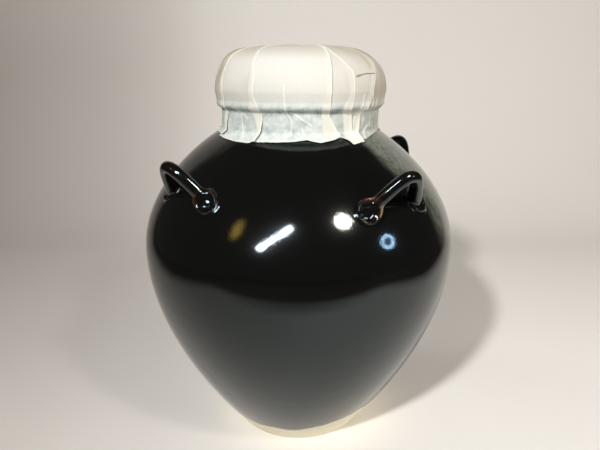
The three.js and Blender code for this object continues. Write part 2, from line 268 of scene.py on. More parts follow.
class TeaJarBodySizes(bpy.types.PropertyGroup):
    """Sizes of the thrown jar and its lugs."""

    foot_radius: length("Foot radius", "Radius of the flat foot", 54.2)
    foot_round: length("Foot edge", "Softened edge round the foot", 1.4)
    flare_angle: angle("Flare angle", "Slope of the wall above the foot", 53.5)
    flare_reach: length("Flare reach", "How far the wall keeps that slope", 63.4)
    belly_radius: length("Belly radius", "Widest radius of the jar", JAR_HIGH.x / MM)
    belly_height: length("Belly height", "Height of the widest line", 152)
    round_below: length("Roundness below", "How full the belly is below its widest line", 49)
    round_above: length("Roundness above", "How full the belly is above its widest line", 44.5)
    shoulder_radius: length("Shoulder radius", "Where the shoulder turns up into the neck", 62)
    shoulder_height: length("Shoulder height", "Height of that turn", 238.8)
    shoulder_slope: angle("Shoulder slope", "Slope of the shoulder at the neck", 31.2)
    shoulder_reach: length("Shoulder reach", "How far the shoulder keeps that slope", 18.7)
    neck_radius: length("Neck radius", "Outside of the neck", 58)
    neck_height: length("Neck height", "From the shoulder to the groove under the lip", 16)
    lip_radius: length("Lip radius", "Outside of the rolled lip", 61.9)
    lip_side: length("Lip side", "Upright band on the lip", 2.6)
    rim_round: length("Rim edge", "Rounding of the rim", 1.2)
    rim_height: length("Rim height", "Height of the rim", JAR_HIGH.z / MM)
    wall: length("Wall", "Thickness of the wall at the belly", 6.5)
    floor: length("Floor", "Thickness of the floor", 9)
    mouth_radius: length("Mouth radius", "Inside of the mouth", 51)
    neck_lean: length("Neck lean", "How far the mouth and the lid stand to the right of the foot", 1.4)
    glaze_depth: length("Glaze depth", "Thickness of the glaze at its lower edge", 0.55)
    segments: IntProperty(name="Segments", description="Facets round the jar", default=240, min=48)
    lug_angles: angles("Lug angles", "Angle of each lug round the shoulder", (-47.2, 36.8, 127.3, -143))
    lug_tips: angles("Lug tips", "How far each lug tips out of level", (1, 0, 0, 1.5))
    lug_sets: FloatVectorProperty(
        name="Lug sets",
        description="How much higher each lug sits than the mean",
        default=[offset * MM for offset in (2.3, -0.6, 0.6, -0.4)],
        size=4,
    )
    lug_root_height: length("Lug root height", "Mean height of the lug roots", 201.5)
    lug_span: length("Lug span", "Between the middles of a lug's roots", 39)
    lug_rise: length("Lug rise", "From the roots to the middle of the arch", 24.2)
    lug_draw_in: length("Lug draw-in", "How far the legs draw in towards the bend", 14.6)
    lug_lean: angle("Lug lean", "Slope of the arch above level", 56)
    lug_rod: length("Lug rod", "Radius of the rod", 4.3)
    lug_root: length("Lug root", "Radius of the rod at its root", 5.4)
    lug_pad: length("Lug pad", "Radius of the pressed pad", 8)
    lug_pad_height: length("Lug pad height", "How proud the pad stands", 6.6)
    lug_pad_shift: length("Lug pad shift", "How far the pad is pressed on past the end of the rod", 2.4)
    lug_pad_tilt: FloatProperty(
        name="Lug pad tilt",
        description="How far the thumb pressed the pad's lower edge in, as a slope",
        default=0.35,
    )
    lug_skirt: length("Lug skirt", "Radius of the clay smeared out round the pad", 11.5)
    lug_skirt_height: length("Lug skirt height", "Half the thickness of that clay", 4)
    lug_skirt_sink: length("Lug skirt sink", "How far its middle lies under the shoulder", 2.6)
    lug_rim: length("Lug rim", "Radius of the pad's rim", 7.6)
    lug_rim_height: length("Lug rim height", "How proud that rim stands", 4.8)
    lug_bury: length("Lug bury", "How deep the roots are worked into the wall", 2.2)


class TeaJarLidSizes(bpy.types.PropertyGroup):
    """Sizes of the lid and its paper."""

    radius: length("Lid radius", "Widest radius of the lid", LID_HIGH.x / MM)
    rim_radius: length("Rim radius", "Radius at the underside", 62.2)
    widest: length("Widest line", "Height of the widest line above the underside", 4.6)
    top_radius: length("Flat top", "Radius of the flat top", 27)
    side_round: length("Side roundness", "How full the side is", 18)
    top_round: length("Top roundness", "How full the top is", 22)
    top: length("Top height", "Height of the lid's top", LID_HIGH.z / MM)
    seat_gap: length("Seat gap", "Gap between the lid and the rim", 0.3)
    plug_depth: length("Plug depth", "Depth of the plug below the flange", 11)
    plug_clearance: length("Plug clearance", "Gap round the plug", 1.2)
    plug_chamfer: length("Plug edge", "Chamfer on the plug", 2)
    paper: length("Paper", "Thickness of the paper", 0.22)
    paste: length("Paste", "Gap of the paste under the paper", 0.3)
    crown_radius: length("Crown radius", "Radius of the round paper on top", 24)
    strip_top: length("Strip top", "Radius where the strips end under it", 13)
    lap_lid: angle("Lap on the lid", "How far a strip covers the next one on the lid", 3.2)
    corner_lift: length("Corner lift", "How far the paper stands off the lid's corner at the left", 2.2)
    edge_lift: length("Edge lift", "How far a free edge stands off at the strip's torn corner", 1.1)
    fold_height: length("Fold height", "Height of the pressed folds", 0.45)
    fold_width: length("Fold width", "Width of the pressed folds", 0.8)
    pucker: length("Pucker", "Depth of the paper's puckers on the neck", 0.5)
    deckle: length("Deckle", "Raggedness of the torn ends", 0.5)


class TeaJarColours(bpy.types.PropertyGroup):
    """Colours of the finishes."""

    glaze: colour("Glaze", "Black iron glaze where it is thick", "#0b0b0a")
    glaze_thin: colour("Thin glaze", "Red-brown where the glaze breaks over an edge", "#361b12")
    glaze_edge: colour("Glaze edge", "Straw-brown where it is thinnest", "#8a7a58")
    ash: colour("Ash glaze", "Pale blue-grey of the ash run", "#7f8988")
    ash_straw: colour("Ash streaks", "Yellow-grey streaks in the ash run", "#8a8a70")
    clay: colour("Bare clay", "Pale stoneware at the foot", "#e6dfc6")
    wood: colour("Lid wood", "Pale turned paulownia", "#cfae7c")
    wood_dark: colour("Wood grain", "Darker late wood", "#9c7746")
    paper: colour("Paper", "Cream paper in two layers", "#e6e4d6")
    # Painted highlight: this colour also lightens a thin line along each free edge, for the light that
    # catches it
    paper_fold_and_edge_highlight: colour("Folded paper", "Edges and folds, where the paper is thickest", "#f8f8ee")
    paper_single: colour("Single paper", "One layer over wood", "#dcdad2")
    paper_cool: colour("Cool paper", "One layer over glaze, where the black makes it look bluish", "#ecf3ec")
    # Painted shade: this tint also darkens the lid's top, the strips at its sides and its wrinkles, for the
    # shade there
    paper_aged_and_shaded: colour("Yellowing", "Tint that age lays over the paper", "#e6e2da")
    # Painted shade: this dark colour stands for the shadow in the slit and under the lifted free edges of the
    # paper
    gap_shade: colour("Dust", "In slits and along raised edges of the paper", "#5f5850")
    paper_dark: colour("Paper over glaze", "One layer stuck fast to black glaze", "#929d9e")


class TeaJarStage(bpy.types.PropertyGroup):
    """Camera, floor and lights."""

    camera_side: length("Camera side", "Sideways place of the camera", 1.05)
    camera_back: length("Camera distance", "Distance of the camera in front of the jar's axis", 400)
    camera_height: length("Camera height", "Height of the camera", 284)
    camera_pitch: angle("Camera pitch", "How far the camera looks down", 16.9)
    lens: FloatProperty(name="Lens", description="Focal length in millimetres on a 36 mm frame", default=30.9)
    sheet_front: length("Sheet front", "How far the pale sheet runs forwards", 360)
    sheet_half: length("Sheet half width", "Half the width of the sheet in front", 470)
    sheet_side: length("Table side", "Half the width of the table and the wall", 1000)
    sheet_back: length("Sheet back", "Where the sheet starts to curve up", 420)
    sheet_bend: length("Sheet bend", "Radius of that curve", 300)
    sheet_rise: length("Sheet rise", "How high the sheet runs up behind", 900)
    sheet: colour("Sheet", "Pale warm white", "#fbf8f3")
    sheet_shade: colour("Sheet in shade", "Warm shade on the left of the sheet", "#9a928b")
    table: colour("Table", "Dark surface past the edges of the sheet", "#332f2b")


def interpolate(points, x):
    """The value at x on straight lines through points."""
    points = sorted(points)
    if x <= points[0][0]:
        return points[0][1]
    for (x0, y0), (x1, y1) in zip(points, points[1:]):
        if x <= x1:
            return y0 + (y1 - y0) * (x - x0) / (x1 - x0)
    return points[-1][1]


def smooth(low, high, x):
    """0 below low, 1 above high, with a soft step between."""
    t = min(max((x - low) / (high - low), 0.0), 1.0)
    return t * t * (3 - 2 * t)


def ripple(*place):
    """Even noise from -1 to 1 at up to three coordinates."""
    return noise.noise(Vector((*place, 0.37, 0.71)[:3]))


def patchy(*place):
    """Even noise from 0 to 1 at up to three coordinates."""
    return 0.5 + 0.5 * ripple(*place)


def bell(x):
    """A bump that is 1 at 0 and fades to either side."""
    return math.exp(-(x**2))


def bow(a, b, c, d, steps):
    """Points of a cubic curve, both ends included."""
    points = []
    for step in range(steps + 1):
        t = step / steps
        u = 1 - t
        points.append(a * u**3 + b * 3 * u * u * t + c * 3 * u * t * t + d * t**3)
    return points


def aside(start, slope, distance):
    """The point that lies a distance from start in a direction."""
    return start + Vector((math.cos(slope), math.sin(slope))) * distance


def joined(*runs):
    """Runs of points end to end, with shared ends kept once."""
    points = list(runs[0])
    for run in runs[1:]:
        points.extend(run[1:] if (run[0] - points[-1]).length < 1e-7 else run)
    return points


def wall_runs(jar):
    """Outside of the jar as radius and height: the flare, the belly and the shoulder."""
    foot = Vector((jar.foot_radius, 0))
    belly = Vector((jar.belly_radius, jar.belly_height))
    shoulder = Vector((jar.shoulder_radius, jar.shoulder_height))
    slope = aside(foot, jar.flare_angle, jar.flare_reach)
    below = belly - Vector((0, jar.round_below))
    above = belly + Vector((0, jar.round_above))
    reach = aside(shoulder, -jar.shoulder_slope, jar.shoulder_reach)
    return bow(foot, slope, below, belly, 110), bow(belly, above, reach, shoulder, 52)


def neck_run(jar):
    """From the shoulder's end over the fillet, neck and lip to the rim's edge."""
    start = Vector((jar.shoulder_radius, jar.shoulder_height))
    corner = jar.shoulder_height + (jar.shoulder_radius - jar.neck_radius) * math.tan(jar.shoulder_slope)
    turn = Vector((jar.neck_radius, corner))
    end = Vector((jar.neck_radius, 2 * corner - jar.shoulder_height))
    fillet = bow(start, (start + turn * 2) / 3, (end + turn * 2) / 3, end, 10)
    groove = Vector((jar.neck_radius, jar.shoulder_height + jar.neck_height))
    lip = Vector((jar.lip_radius, jar.rim_height - jar.rim_round - jar.lip_side))
    half = Vector((0, (lip.y - groove.y) / 2))
    curl = bow(groove, groove + half, lip - half, lip, 12)
    upright = [end + (groove - end) * step / 6 for step in range(7)]
    side = [lip, lip + Vector((0, jar.lip_side))]
    return joined(fillet, upright, curl, side)


def jar_profile(jar):
    """Closed outline of half the jar, from the middle of the foot round the outside to the floor inside."""
    belly, shoulder = wall_runs(jar)
    edge = Vector((jar.foot_radius, 0))
    foot_in = Vector((jar.foot_radius - jar.foot_round, 0))
    foot_up = aside(edge, jar.flare_angle, jar.foot_round)
    foot = bow(foot_in, (foot_in + edge * 2) / 3, (foot_up + edge * 2) / 3, foot_up, 4)
    flare = [spot for spot in belly if spot.y > foot_up.y]
    under = [foot_in * step / 6 for step in range(7)]
    top = Vector((jar.lip_radius - jar.rim_round, jar.rim_height))
    rim = [top + Vector((jar.rim_round * 0.7, -jar.rim_round * 0.3)), top]
    mouth_top = Vector((jar.mouth_radius + jar.rim_round, jar.rim_height))
    throat_top = Vector((jar.mouth_radius, jar.rim_height - jar.rim_round))
    mouth = [mouth_top, mouth_top + Vector((-jar.rim_round * 0.7, -jar.rim_round * 0.3)), throat_top]
    throat = Vector((jar.mouth_radius, jar.shoulder_height))
    hollow = Vector((jar.belly_radius - jar.wall, jar.belly_height))
    corner = Vector((jar.foot_radius - jar.wall, jar.floor))
    over = bow(
        throat,
        aside(throat, -jar.shoulder_slope, jar.shoulder_reach),
        hollow + Vector((0, jar.round_above)),
        hollow,
        24,
    )
    inside = bow(
        hollow,
        hollow - Vector((0, jar.round_below)),
        aside(corner, jar.flare_angle, jar.flare_reach),
        corner,
        28,
    )
    bottom = [corner * (1 - step / 8) + Vector((0, jar.floor)) * (step / 8) for step in range(9)]
    return joined(under, foot, flare, shoulder, neck_run(jar), rim, mouth, over, inside, bottom)


def lean(height):
    """How far the jar stands to the right at a height: the neck leans a little."""
    return bpy.context.scene.tea_jar_body.neck_lean * smooth(*LEAN_BAND, height)


def begin(name, primitive, **settings):
    """Adds a primitive, the only thing selected, under its piece's name."""
    bpy.ops.object.select_all(action="DESELECT")
    primitive(**settings)
    piece = bpy.context.active_object
    piece.name = name
    piece.data.name = name
    return piece


def drawn(name, points):
    """A vertex drawn out along points, left in edit mode with all of it selected."""
    piece = begin(name, bpy.ops.mesh.primitive_plane_add, size=MM)
    bpy.ops.object.mode_set(mode="EDIT")
    bpy.ops.mesh.select_all(action="SELECT")
    bpy.ops.mesh.merge(type="CENTER")
    bpy.ops.transform.translate(value=points[0])
    for here, there in zip(points, points[1:]):
        step = tuple(b - a for a, b in zip(here, there))
        bpy.ops.mesh.extrude_region_move(TRANSFORM_OT_translate={"value": step})
    bpy.ops.mesh.select_all(action="SELECT")
    return piece


def turn_profile(name, profile, segments):
    """A profile of radius and height spun round the upright axis."""
    piece = drawn(name, [(spot.x, 0, spot.y) for spot in profile])
    bpy.ops.mesh.spin(steps=segments, angle=math.tau, center=(0, 0, 0), axis=(0, 0, 1))
    bpy.ops.mesh.select_all(action="SELECT")
    bpy.ops.mesh.remove_doubles(threshold=2e-6)
    bpy.ops.mesh.normals_make_consistent(inside=False)
    bpy.ops.object.mode_set(mode="OBJECT")
    bpy.ops.object.shade_smooth_by_angle(angle=math.radians(50))
    return piece


def apply_modifier(piece, kind, **settings):
    """Adds a modifier, sets it and applies it."""
    modifier = piece.modifiers.new(kind.title(), kind)
    for field, value in settings.items():
        setattr(modifier, field, value)
    bpy.context.view_layer.objects.active = piece
    bpy.ops.object.modifier_apply(modifier=modifier.name)


def face_out(piece, outward):
    """Makes the faces of a sheet agree, with the first one on the side that a direction points to."""
    bpy.ops.object.mode_set(mode="EDIT")
    bpy.ops.mesh.select_all(action="SELECT")
    bpy.ops.mesh.normals_make_consistent(inside=False)
    bpy.ops.object.mode_set(mode="OBJECT")
    if piece.data.polygons[0].normal.dot(outward) < 0:
        piece.data.flip_normals()


def store(piece, name, values):
    """Keeps one number for each vertex as an attribute that materials can read."""
    layer = piece.data.attributes.get(name) or piece.data.attributes.new(name, "FLOAT", "POINT")
    layer.data.foreach_set("value", values)


def fit_out(piece, body, slot, *nodes):
    """Gives a finished piece the material of its slot and its body, and hides the frame's nodes that it
    stands for.
    """
    name, build = FINISHES[slot]
    material = bpy.data.materials.get(name) or build(bpy.context.scene.tea_jar_colours)
    piece.data.materials.clear()
    piece.data.materials.append(material)
    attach(piece, body)
    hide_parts(*nodes)


def round_angle(spot):
    """Angle of a point round the jar in degrees, 0 at the front and positive to the right."""
    return math.degrees(math.atan2(spot.x, -spot.y))


def fill(tree, node, inputs):
    """Links a node's inputs to sockets or sets them to values."""
    for socket, value in inputs.items():
        if isinstance(value, bpy.types.NodeSocket):
            tree.links.new(value, node.inputs[socket])
        else:
            node.inputs[socket].default_value = value


def add(tree, kind, inputs=None, **settings):
    """Adds a shader node, sets its fields and fills its inputs."""
    node = tree.nodes.new(kind)
    for field, value in settings.items():
        setattr(node, field, value)
    fill(tree, node, inputs or {})
    return node


def rgba(shade):
    """A colour property with full cover."""
    return (*shade, 1.0)


def new_material(name):
    """A new node material, its node tree, its shader and the piece's own coordinates."""
    material = bpy.data.materials.new(name)
    material.use_nodes = True
    tree = material.node_tree
    tree.nodes.clear()
    shader = add(tree, "ShaderNodeBsdfPrincipled")
    add(tree, "ShaderNodeOutputMaterial", {"Surface": shader.outputs[0]})
    place = add(tree, "ShaderNodeTexCoord").outputs["Object"]
    return material, tree, shader, place


def glaze_material(colours):
    """Black iron glaze on stoneware: glassy, brown on edges, with an ash run and a bare clay foot."""
    material, tree, shader, place = new_material("black_iron_glaze")
    ash = add(tree, ATTRIBUTE, attribute_name="ash").outputs["Fac"]
    thin = add(tree, ATTRIBUTE, attribute_name="thin").outputs["Fac"]
    bare = add(tree, ATTRIBUTE, attribute_name="bare").outputs["Fac"]
    # Streaks of ash follow the fall of the wall: 3 mm across and ten times as long
    fall = add(tree, MAPPING, {"Vector": place, "Scale": (330, 330, 34)}).outputs[0]
    streak = add(tree, NOISE, {"Vector": fall, "Scale": 1.0, "Detail": 4.0, "Roughness": 0.6}).outputs[0]
    cloud = add(tree, NOISE, {"Vector": place, "Scale": 90.0, "Detail": 3.0}).outputs[0]
    # Thin glaze: brown first, straw at the sharpest edges
    brown = add(tree, RANGE, {"Value": thin, "From Min": 0.15, "From Max": 0.7}).outputs[0]
    shades = {0: brown, 6: rgba(colours.glaze), 7: rgba(colours.glaze_thin)}
    dark = add(tree, MIX, shades, data_type="RGBA").outputs[2]
    straw = add(tree, RANGE, {"Value": thin, "From Min": 0.7, "From Max": 1.0, "To Max": 0.8}).outputs[0]
    broken = add(tree, MIX, {0: straw, 6: dark, 7: rgba(colours.glaze_edge)}, data_type="RGBA").outputs[2]
    tints = {0: cloud, 6: rgba(colours.ash), 7: rgba(colours.ash_straw)}
    tint = add(tree, MIX, tints, data_type="RGBA").outputs[2]
    veil = add(tree, RANGE, {"Value": streak, "From Min": 0.1, "From Max": 0.75, "To Max": 0.76}).outputs[0]
    run = add(tree, MATH, {0: ash, 1: veil}, operation="MULTIPLY").outputs[0]
    washed = add(tree, MIX, {0: run, 6: broken, 7: tint}, data_type="RGBA").outputs[2]
    # Clay grit of about half a millimetre
    grit = add(tree, NOISE, {"Vector": place, "Scale": 2000.0, "Detail": 2.0}).outputs[0]
    speck = add(tree, RANGE, {"Value": grit, "From Min": 0.35, "From Max": 0.7, "To Min": 0.86}).outputs[0]
    gritty = {0: 1.0, 6: rgba(colours.clay), 7: speck}
    clay = add(tree, MIX, gritty, data_type="RGBA", blend_type="MULTIPLY").outputs[2]
    # The glaze stops in an uneven line above the foot
    wander = add(tree, NOISE, {"Vector": place, "Scale": 160.0, "Detail": 3.0}).outputs[0]
    edge = add(tree, MATH, {0: wander, 1: 0.6, 2: bare}, operation="MULTIPLY_ADD").outputs[0]
    foot = add(tree, RANGE, {"Value": edge, "From Min": 0.72, "From Max": 0.88}).outputs[0]
    wet = add(tree, RANGE, {"Value": run, "To Min": 0.06, "To Max": 0.26}).outputs[0]
    # The glaze lies in slow ripples a centimetre wide, with a grain of a millimetre
    swell = add(tree, NOISE, {"Vector": place, "Scale": 85.0, "Detail": 1.0}).outputs[0]
    grain = add(tree, NOISE, {"Vector": place, "Scale": 950.0, "Detail": 1.0}).outputs[0]
    skin = add(tree, MATH, {0: swell, 1: 0.7, 2: grain}, operation="MULTIPLY_ADD").outputs[0]
    height = add(tree, MIX, {0: foot, 2: skin, 3: grit}).outputs[0]
    inputs = {
        "Base Color": add(tree, MIX, {0: foot, 6: washed, 7: clay}, data_type="RGBA").outputs[2],
        "Roughness": add(tree, MIX, {0: foot, 2: wet, 3: 0.8}).outputs[0],
        "Normal": add(tree, BUMP, {"Height": height, "Strength": 0.13, "Distance": 0.2 * MM}).outputs[0],
        "IOR": 1.52,
        # A thin bloom on the glaze scatters a little light round each highlight
        "Coat Weight": 0.1,
        "Coat Roughness": 0.2,
        "Specular Tint": (0.8, 0.98, 1.0, 1.0),
    }
    fill(tree, shader, inputs)
    return material


def wood_material(colours):
    """Turned paulownia, sanded and left bare: pale straight grain with darker late wood."""
    material, tree, shader, place = new_material("turned_paulownia")
    stretch = add(tree, MAPPING, {"Vector": place, "Scale": (1.0, 0.06, 1.0)}).outputs[0]
    rings = {"Vector": stretch, "Scale": 45.0, "Distortion": 3.0, "Detail": 2.0}
    grain = add(tree, "ShaderNodeTexWave", rings, wave_type="BANDS", bands_direction="X").outputs["Fac"]
    along = add(tree, MAPPING, {"Vector": place, "Scale": (900.0, 40.0, 900.0)}).outputs[0]
    pore = add(tree, NOISE, {"Vector": along, "Scale": 1.0, "Detail": 3.0}).outputs[0]
    cloud = add(tree, NOISE, {"Vector": stretch, "Scale": 60.0, "Detail": 2.0}).outputs[0]
    band = add(tree, MATH, {0: grain, 1: cloud}, operation="MULTIPLY").outputs[0]
    tone = add(tree, MATH, {0: pore, 1: 0.35, 2: band}, operation="MULTIPLY_ADD").outputs[0]
    late = add(tree, RANGE, {"Value": tone, "From Min": 0.15, "From Max": 0.85}).outputs[0]
    shades = {0: late, 6: rgba(colours.wood), 7: rgba(colours.wood_dark)}
    inputs = {
        "Base Color": add(tree, MIX, shades, data_type="RGBA").outputs[2],
        "Roughness": 0.62,
        "Normal": add(tree, BUMP, {"Height": tone, "Strength": 0.3, "Distance": 0.2 * MM}).outputs[0],
    }
    fill(tree, shader, inputs)
    return material


def paper_material(colours):
    """Hand-made paper, pasted down: cream in two layers, grey and mottled in one over black glaze."""
    material, tree, shader, place = new_material("pasted_mulberry_paper")
    marks = [add(tree, ATTRIBUTE, attribute_name=name).outputs["Fac"] for name in PAPER_MARKS]
    backing_and_shade, layers, fold, painted_gap_shade, tone = marks
    # Patches of 5 mm where the paper has dried off the glaze, and fibres under a millimetre wide
    patch = add(tree, NOISE, {"Vector": place, "Scale": 190.0, "Detail": 4.0, "Roughness": 0.62}).outputs[0]
    slant = {"Vector": place, "Scale": (1.0, 1.0, 0.35), "Rotation": (0.0, 0.5, 0.4)}
    drawn_out = add(tree, MAPPING, slant).outputs[0]
    strands = {"Vector": drawn_out, "Scale": 1400.0, "Detail": 3.0, "Distortion": 0.8}
    fibre = add(tree, NOISE, strands).outputs[0]
    mottle = add(tree, MATH, {0: fibre, 1: 0.35, 2: patch}, operation="MULTIPLY_ADD").outputs[0]
    hold = {"Value": mottle, "From Min": 0.45, "From Max": 0.95, "To Min": 1.15, "To Max": 0.35}
    stuck = add(tree, RANGE, hold).outputs[0]
    # Where the glaze shows through, and under the lip where painted shade darkens it, the paper turns grey
    dark = add(tree, MATH, {0: backing_and_shade, 1: stuck}, operation="MULTIPLY").outputs[0]
    cool = add(tree, RANGE, {"Value": backing_and_shade, "From Max": 0.35}).outputs[0]
    shades = {0: cool, 6: rgba(colours.paper_single), 7: rgba(colours.paper_cool)}
    thin = add(tree, MIX, shades, data_type="RGBA").outputs[2]
    # The tone carries yellowing and painted shade on the lid's top, its side strips and its wrinkles
    age = {0: tone, 6: thin, 7: rgba(colours.paper_aged_and_shaded)}
    aged = add(tree, MIX, age, data_type="RGBA", blend_type="MULTIPLY", clamp_factor=False).outputs[2]
    single = add(tree, MIX, {0: dark, 6: aged, 7: rgba(colours.paper_dark)}, data_type="RGBA").outputs[2]
    # Second layers and folds, with a painted highlight along each free edge
    double = add(tree, MIX, {0: layers, 6: single, 7: rgba(colours.paper)}, data_type="RGBA").outputs[2]
    sheet = add(tree, MIX, {0: fold, 6: double, 7: rgba(colours.paper_fold_and_edge_highlight)}, data_type="RGBA").outputs[2]
    shade = add(tree, RANGE, {"Value": fibre, "From Min": 0.3, "From Max": 0.7, "To Min": 0.95}).outputs[0]
    woven = {0: 1.0, 6: sheet, 7: shade}
    fibred = add(tree, MIX, woven, data_type="RGBA", blend_type="MULTIPLY").outputs[2]
    height = add(tree, MATH, {0: fibre, 1: 0.4, 2: patch}, operation="MULTIPLY_ADD").outputs[0]
    inputs = {
        # The dark colour in the slit and beside lifted free edges is painted shade
        "Base Color": add(tree, MIX, {0: painted_gap_shade, 6: fibred, 7: rgba(colours.gap_shade)}, data_type="RGBA").outputs[2],
        "Roughness": 0.85,
        "Specular IOR Level": 0.25,
        "Normal": add(tree, BUMP, {"Height": height, "Strength": 0.5, "Distance": 0.3 * MM}).outputs[0],
    }
    fill(tree, shader, inputs)
    return material


# The finish of each slot: its material's name and the function that makes it
FINISHES = {
    "black_glaze": ("black_iron_glaze", glaze_material),
    "lid_wood": ("turned_paulownia", wood_material),
    "seal_paper": ("pasted_mulberry_paper", paper_material),
}


def model_jar(jar):
    """Spins the jar, gives it the potter's unevenness and marks where its finishes lie."""
    piece = turn_profile("jar_glazed", jar_profile(jar), jar.segments)
    groove = (jar.shoulder_height + jar.neck_height) / MM
    ash, thin, bare = [], [], []
    normals = [vertex.normal.copy() for vertex in piece.data.vertices]
    for vertex, normal in zip(piece.data.vertices, normals):
        spot = vertex.co
        turn = round_angle(spot)
        height = spot.z / MM
        outside = normal.x * spot.x + normal.y * spot.y > 0 or height < 1
        line = interpolate(GLAZE_LINE, turn) + 1.1 * ripple(turn * 0.09, 3.0) + 0.5 * ripple(turn * 0.4, 8.0)
        bare.append(min(max(0.5 - (height - line) * 0.5, 0.0), 1.0) if outside else 0.0)
        ash.append(ash_share(turn, height) if outside else 0.0)
        rim = smooth(3.0, 0.4, abs(spot.z - jar.rim_height) / MM)
        thin.append(0.75 * rim if outside else 0.35)
        # The bare foot lies lower than the glaze, and the paper needs an even neck
        if outside and math.hypot(spot.x, spot.y) > 0.02 and 0.5 < height < groove - 18:
            rise = jar.glaze_depth * (smooth(line - 0.3, line + 1.2, height) - 1)
            wave = math.sin(height * 0.62 + 2.0 * ripple(height * 0.03, 5.0)) * smooth(20, 60, height)
            rise += RING_HEIGHT * (wave - 1) + SWAY * (ripple(*(spot * 12)) - 1)
            vertex.co = spot + Vector((spot.x, spot.y, 0)).normalized() * rise
        vertex.co.x += lean(vertex.co.z)
    store(piece, "ash", ash)
    store(piece, "thin", thin)
    store(piece, "bare", bare)
    return piece


def ash_share(turn, height):
    """How much ash glaze lies at an angle and height on the outside of the jar."""
    if not ASH_TURNS[0] <= turn <= ASH_TURNS[1] or height > ASH_TOP:
        return 0.0
    wander = 2.2 * ripple(turn * 0.12, height * 0.05)
    left = interpolate(ASH_LEFT, height) + wander
    foot = interpolate(ASH_FOOT, turn) + 5 * ripple(turn * 0.35, 2.0)
    side = smooth(left - 3.0, left + 5.0, turn)
    return side * smooth(foot - 8, foot + 16, height)


def shoulder_seat(jar, height):
    """Radius of the shoulder at a height and its outward direction as radial and upward shares."""
    run = wall_runs(jar)[1]
    for low, high in zip(run, run[1:]):
        if high.y >= height:
            share = (height - low.y) / (high.y - low.y)
            slope = (high - low).normalized()
            return low.x + share * (high.x - low.x), slope.y, -slope.x
    raise ValueError("the lug roots lie above the shoulder")


def depth_below(run, spot):
    """How far a point lies inside the shoulder, and the outward direction there."""
    radius = math.hypot(spot.x, spot.y)
    flat = Vector((radius, spot.z))
    nearest = min(range(len(run) - 1), key=lambda i: (run[i] - flat).length_squared)
    slope = (run[nearest + 1] - run[nearest]).normalized()
    out = Vector((slope.y, -slope.x))
    away = Vector((spot.x, spot.y, 0)).normalized() * out.x + Vector((0, 0, out.y))
    return (run[nearest] - flat).dot(out), away


def lug_line(jar, index):
    """Four points of a lug's curve, the directions out of the wall at its roots and the one up its arch."""
    turn = jar.lug_angles[index]
    height = jar.lug_root_height + jar.lug_sets[index]
    radius, out, lift = shoulder_seat(jar, height)
    root = jar.lug_span / 2
    bend = root - jar.lug_draw_in
    reach = jar.lug_rise * 4 / 3
    radial = Vector((math.sin(turn), -math.cos(turn), 0))
    across = Vector((math.cos(turn), math.sin(turn), math.tan(jar.lug_tips[index]))).normalized()
    up = radial * math.cos(jar.lug_lean) + Vector((0, 0, math.sin(jar.lug_lean)))
    middle = radial * math.sqrt(radius**2 - root**2) + Vector((0, 0, height))
    spots = [middle + across * a + up * b for a, b in ((-root, 0), (-bend, reach), (bend, reach), (root, 0))]
    outward = [Vector((spot.x, spot.y, 0)).normalized() * out + Vector((0, 0, lift)) for spot in spots[::3]]
    return spots, outward, up


def bent_rod(jar, name, spots):
    """A rod along a lug's curve that swells towards its roots and is a little uneven, as a pulled rod is."""
    rod = begin(name, bpy.ops.curve.primitive_bezier_curve_add)
    curve = rod.data
    start, end = curve.splines[0].bezier_points
    for knot in (start, end):
        knot.handle_left_type = knot.handle_right_type = "FREE"
    start.handle_left, start.co, start.handle_right = spots[0], spots[0], spots[1]
    end.handle_left, end.co, end.handle_right = spots[2], spots[3], spots[3]
    bpy.ops.object.mode_set(mode="EDIT")
    bpy.ops.curve.select_all(action="SELECT")
    bpy.ops.curve.subdivide(number_cuts=ROD_CUTS)
    bpy.ops.object.mode_set(mode="OBJECT")
    knots = curve.splines[0].bezier_points
    for step, knot in enumerate(knots):
        swell = abs(2 * step / (len(knots) - 1) - 1) ** 4
        uneven = 0.05 * ripple(step * 0.45, spots[0].x * 90)
        knot.radius = 1 + (jar.lug_root / jar.lug_rod - 1) * swell + uneven
    curve.bevel_depth = jar.lug_rod
    curve.bevel_resolution = 6
    curve.resolution_u = 5
    curve.use_fill_caps = True
    bpy.ops.object.convert(target="MESH")
    return rod


def aim(piece, place, direction, beside):
    """Turns a piece's Z axis to a direction and its Y axis as near to another, moves it and applies both."""
    second = (beside - direction * beside.dot(direction)).normalized()
    piece.rotation_mode = "QUATERNION"
    axes = Matrix((second.cross(direction), second, direction)).transposed()
    piece.rotation_quaternion = axes.to_quaternion()
    piece.location = place
    bpy.ops.object.transform_apply(location=True, rotation=True, scale=True)


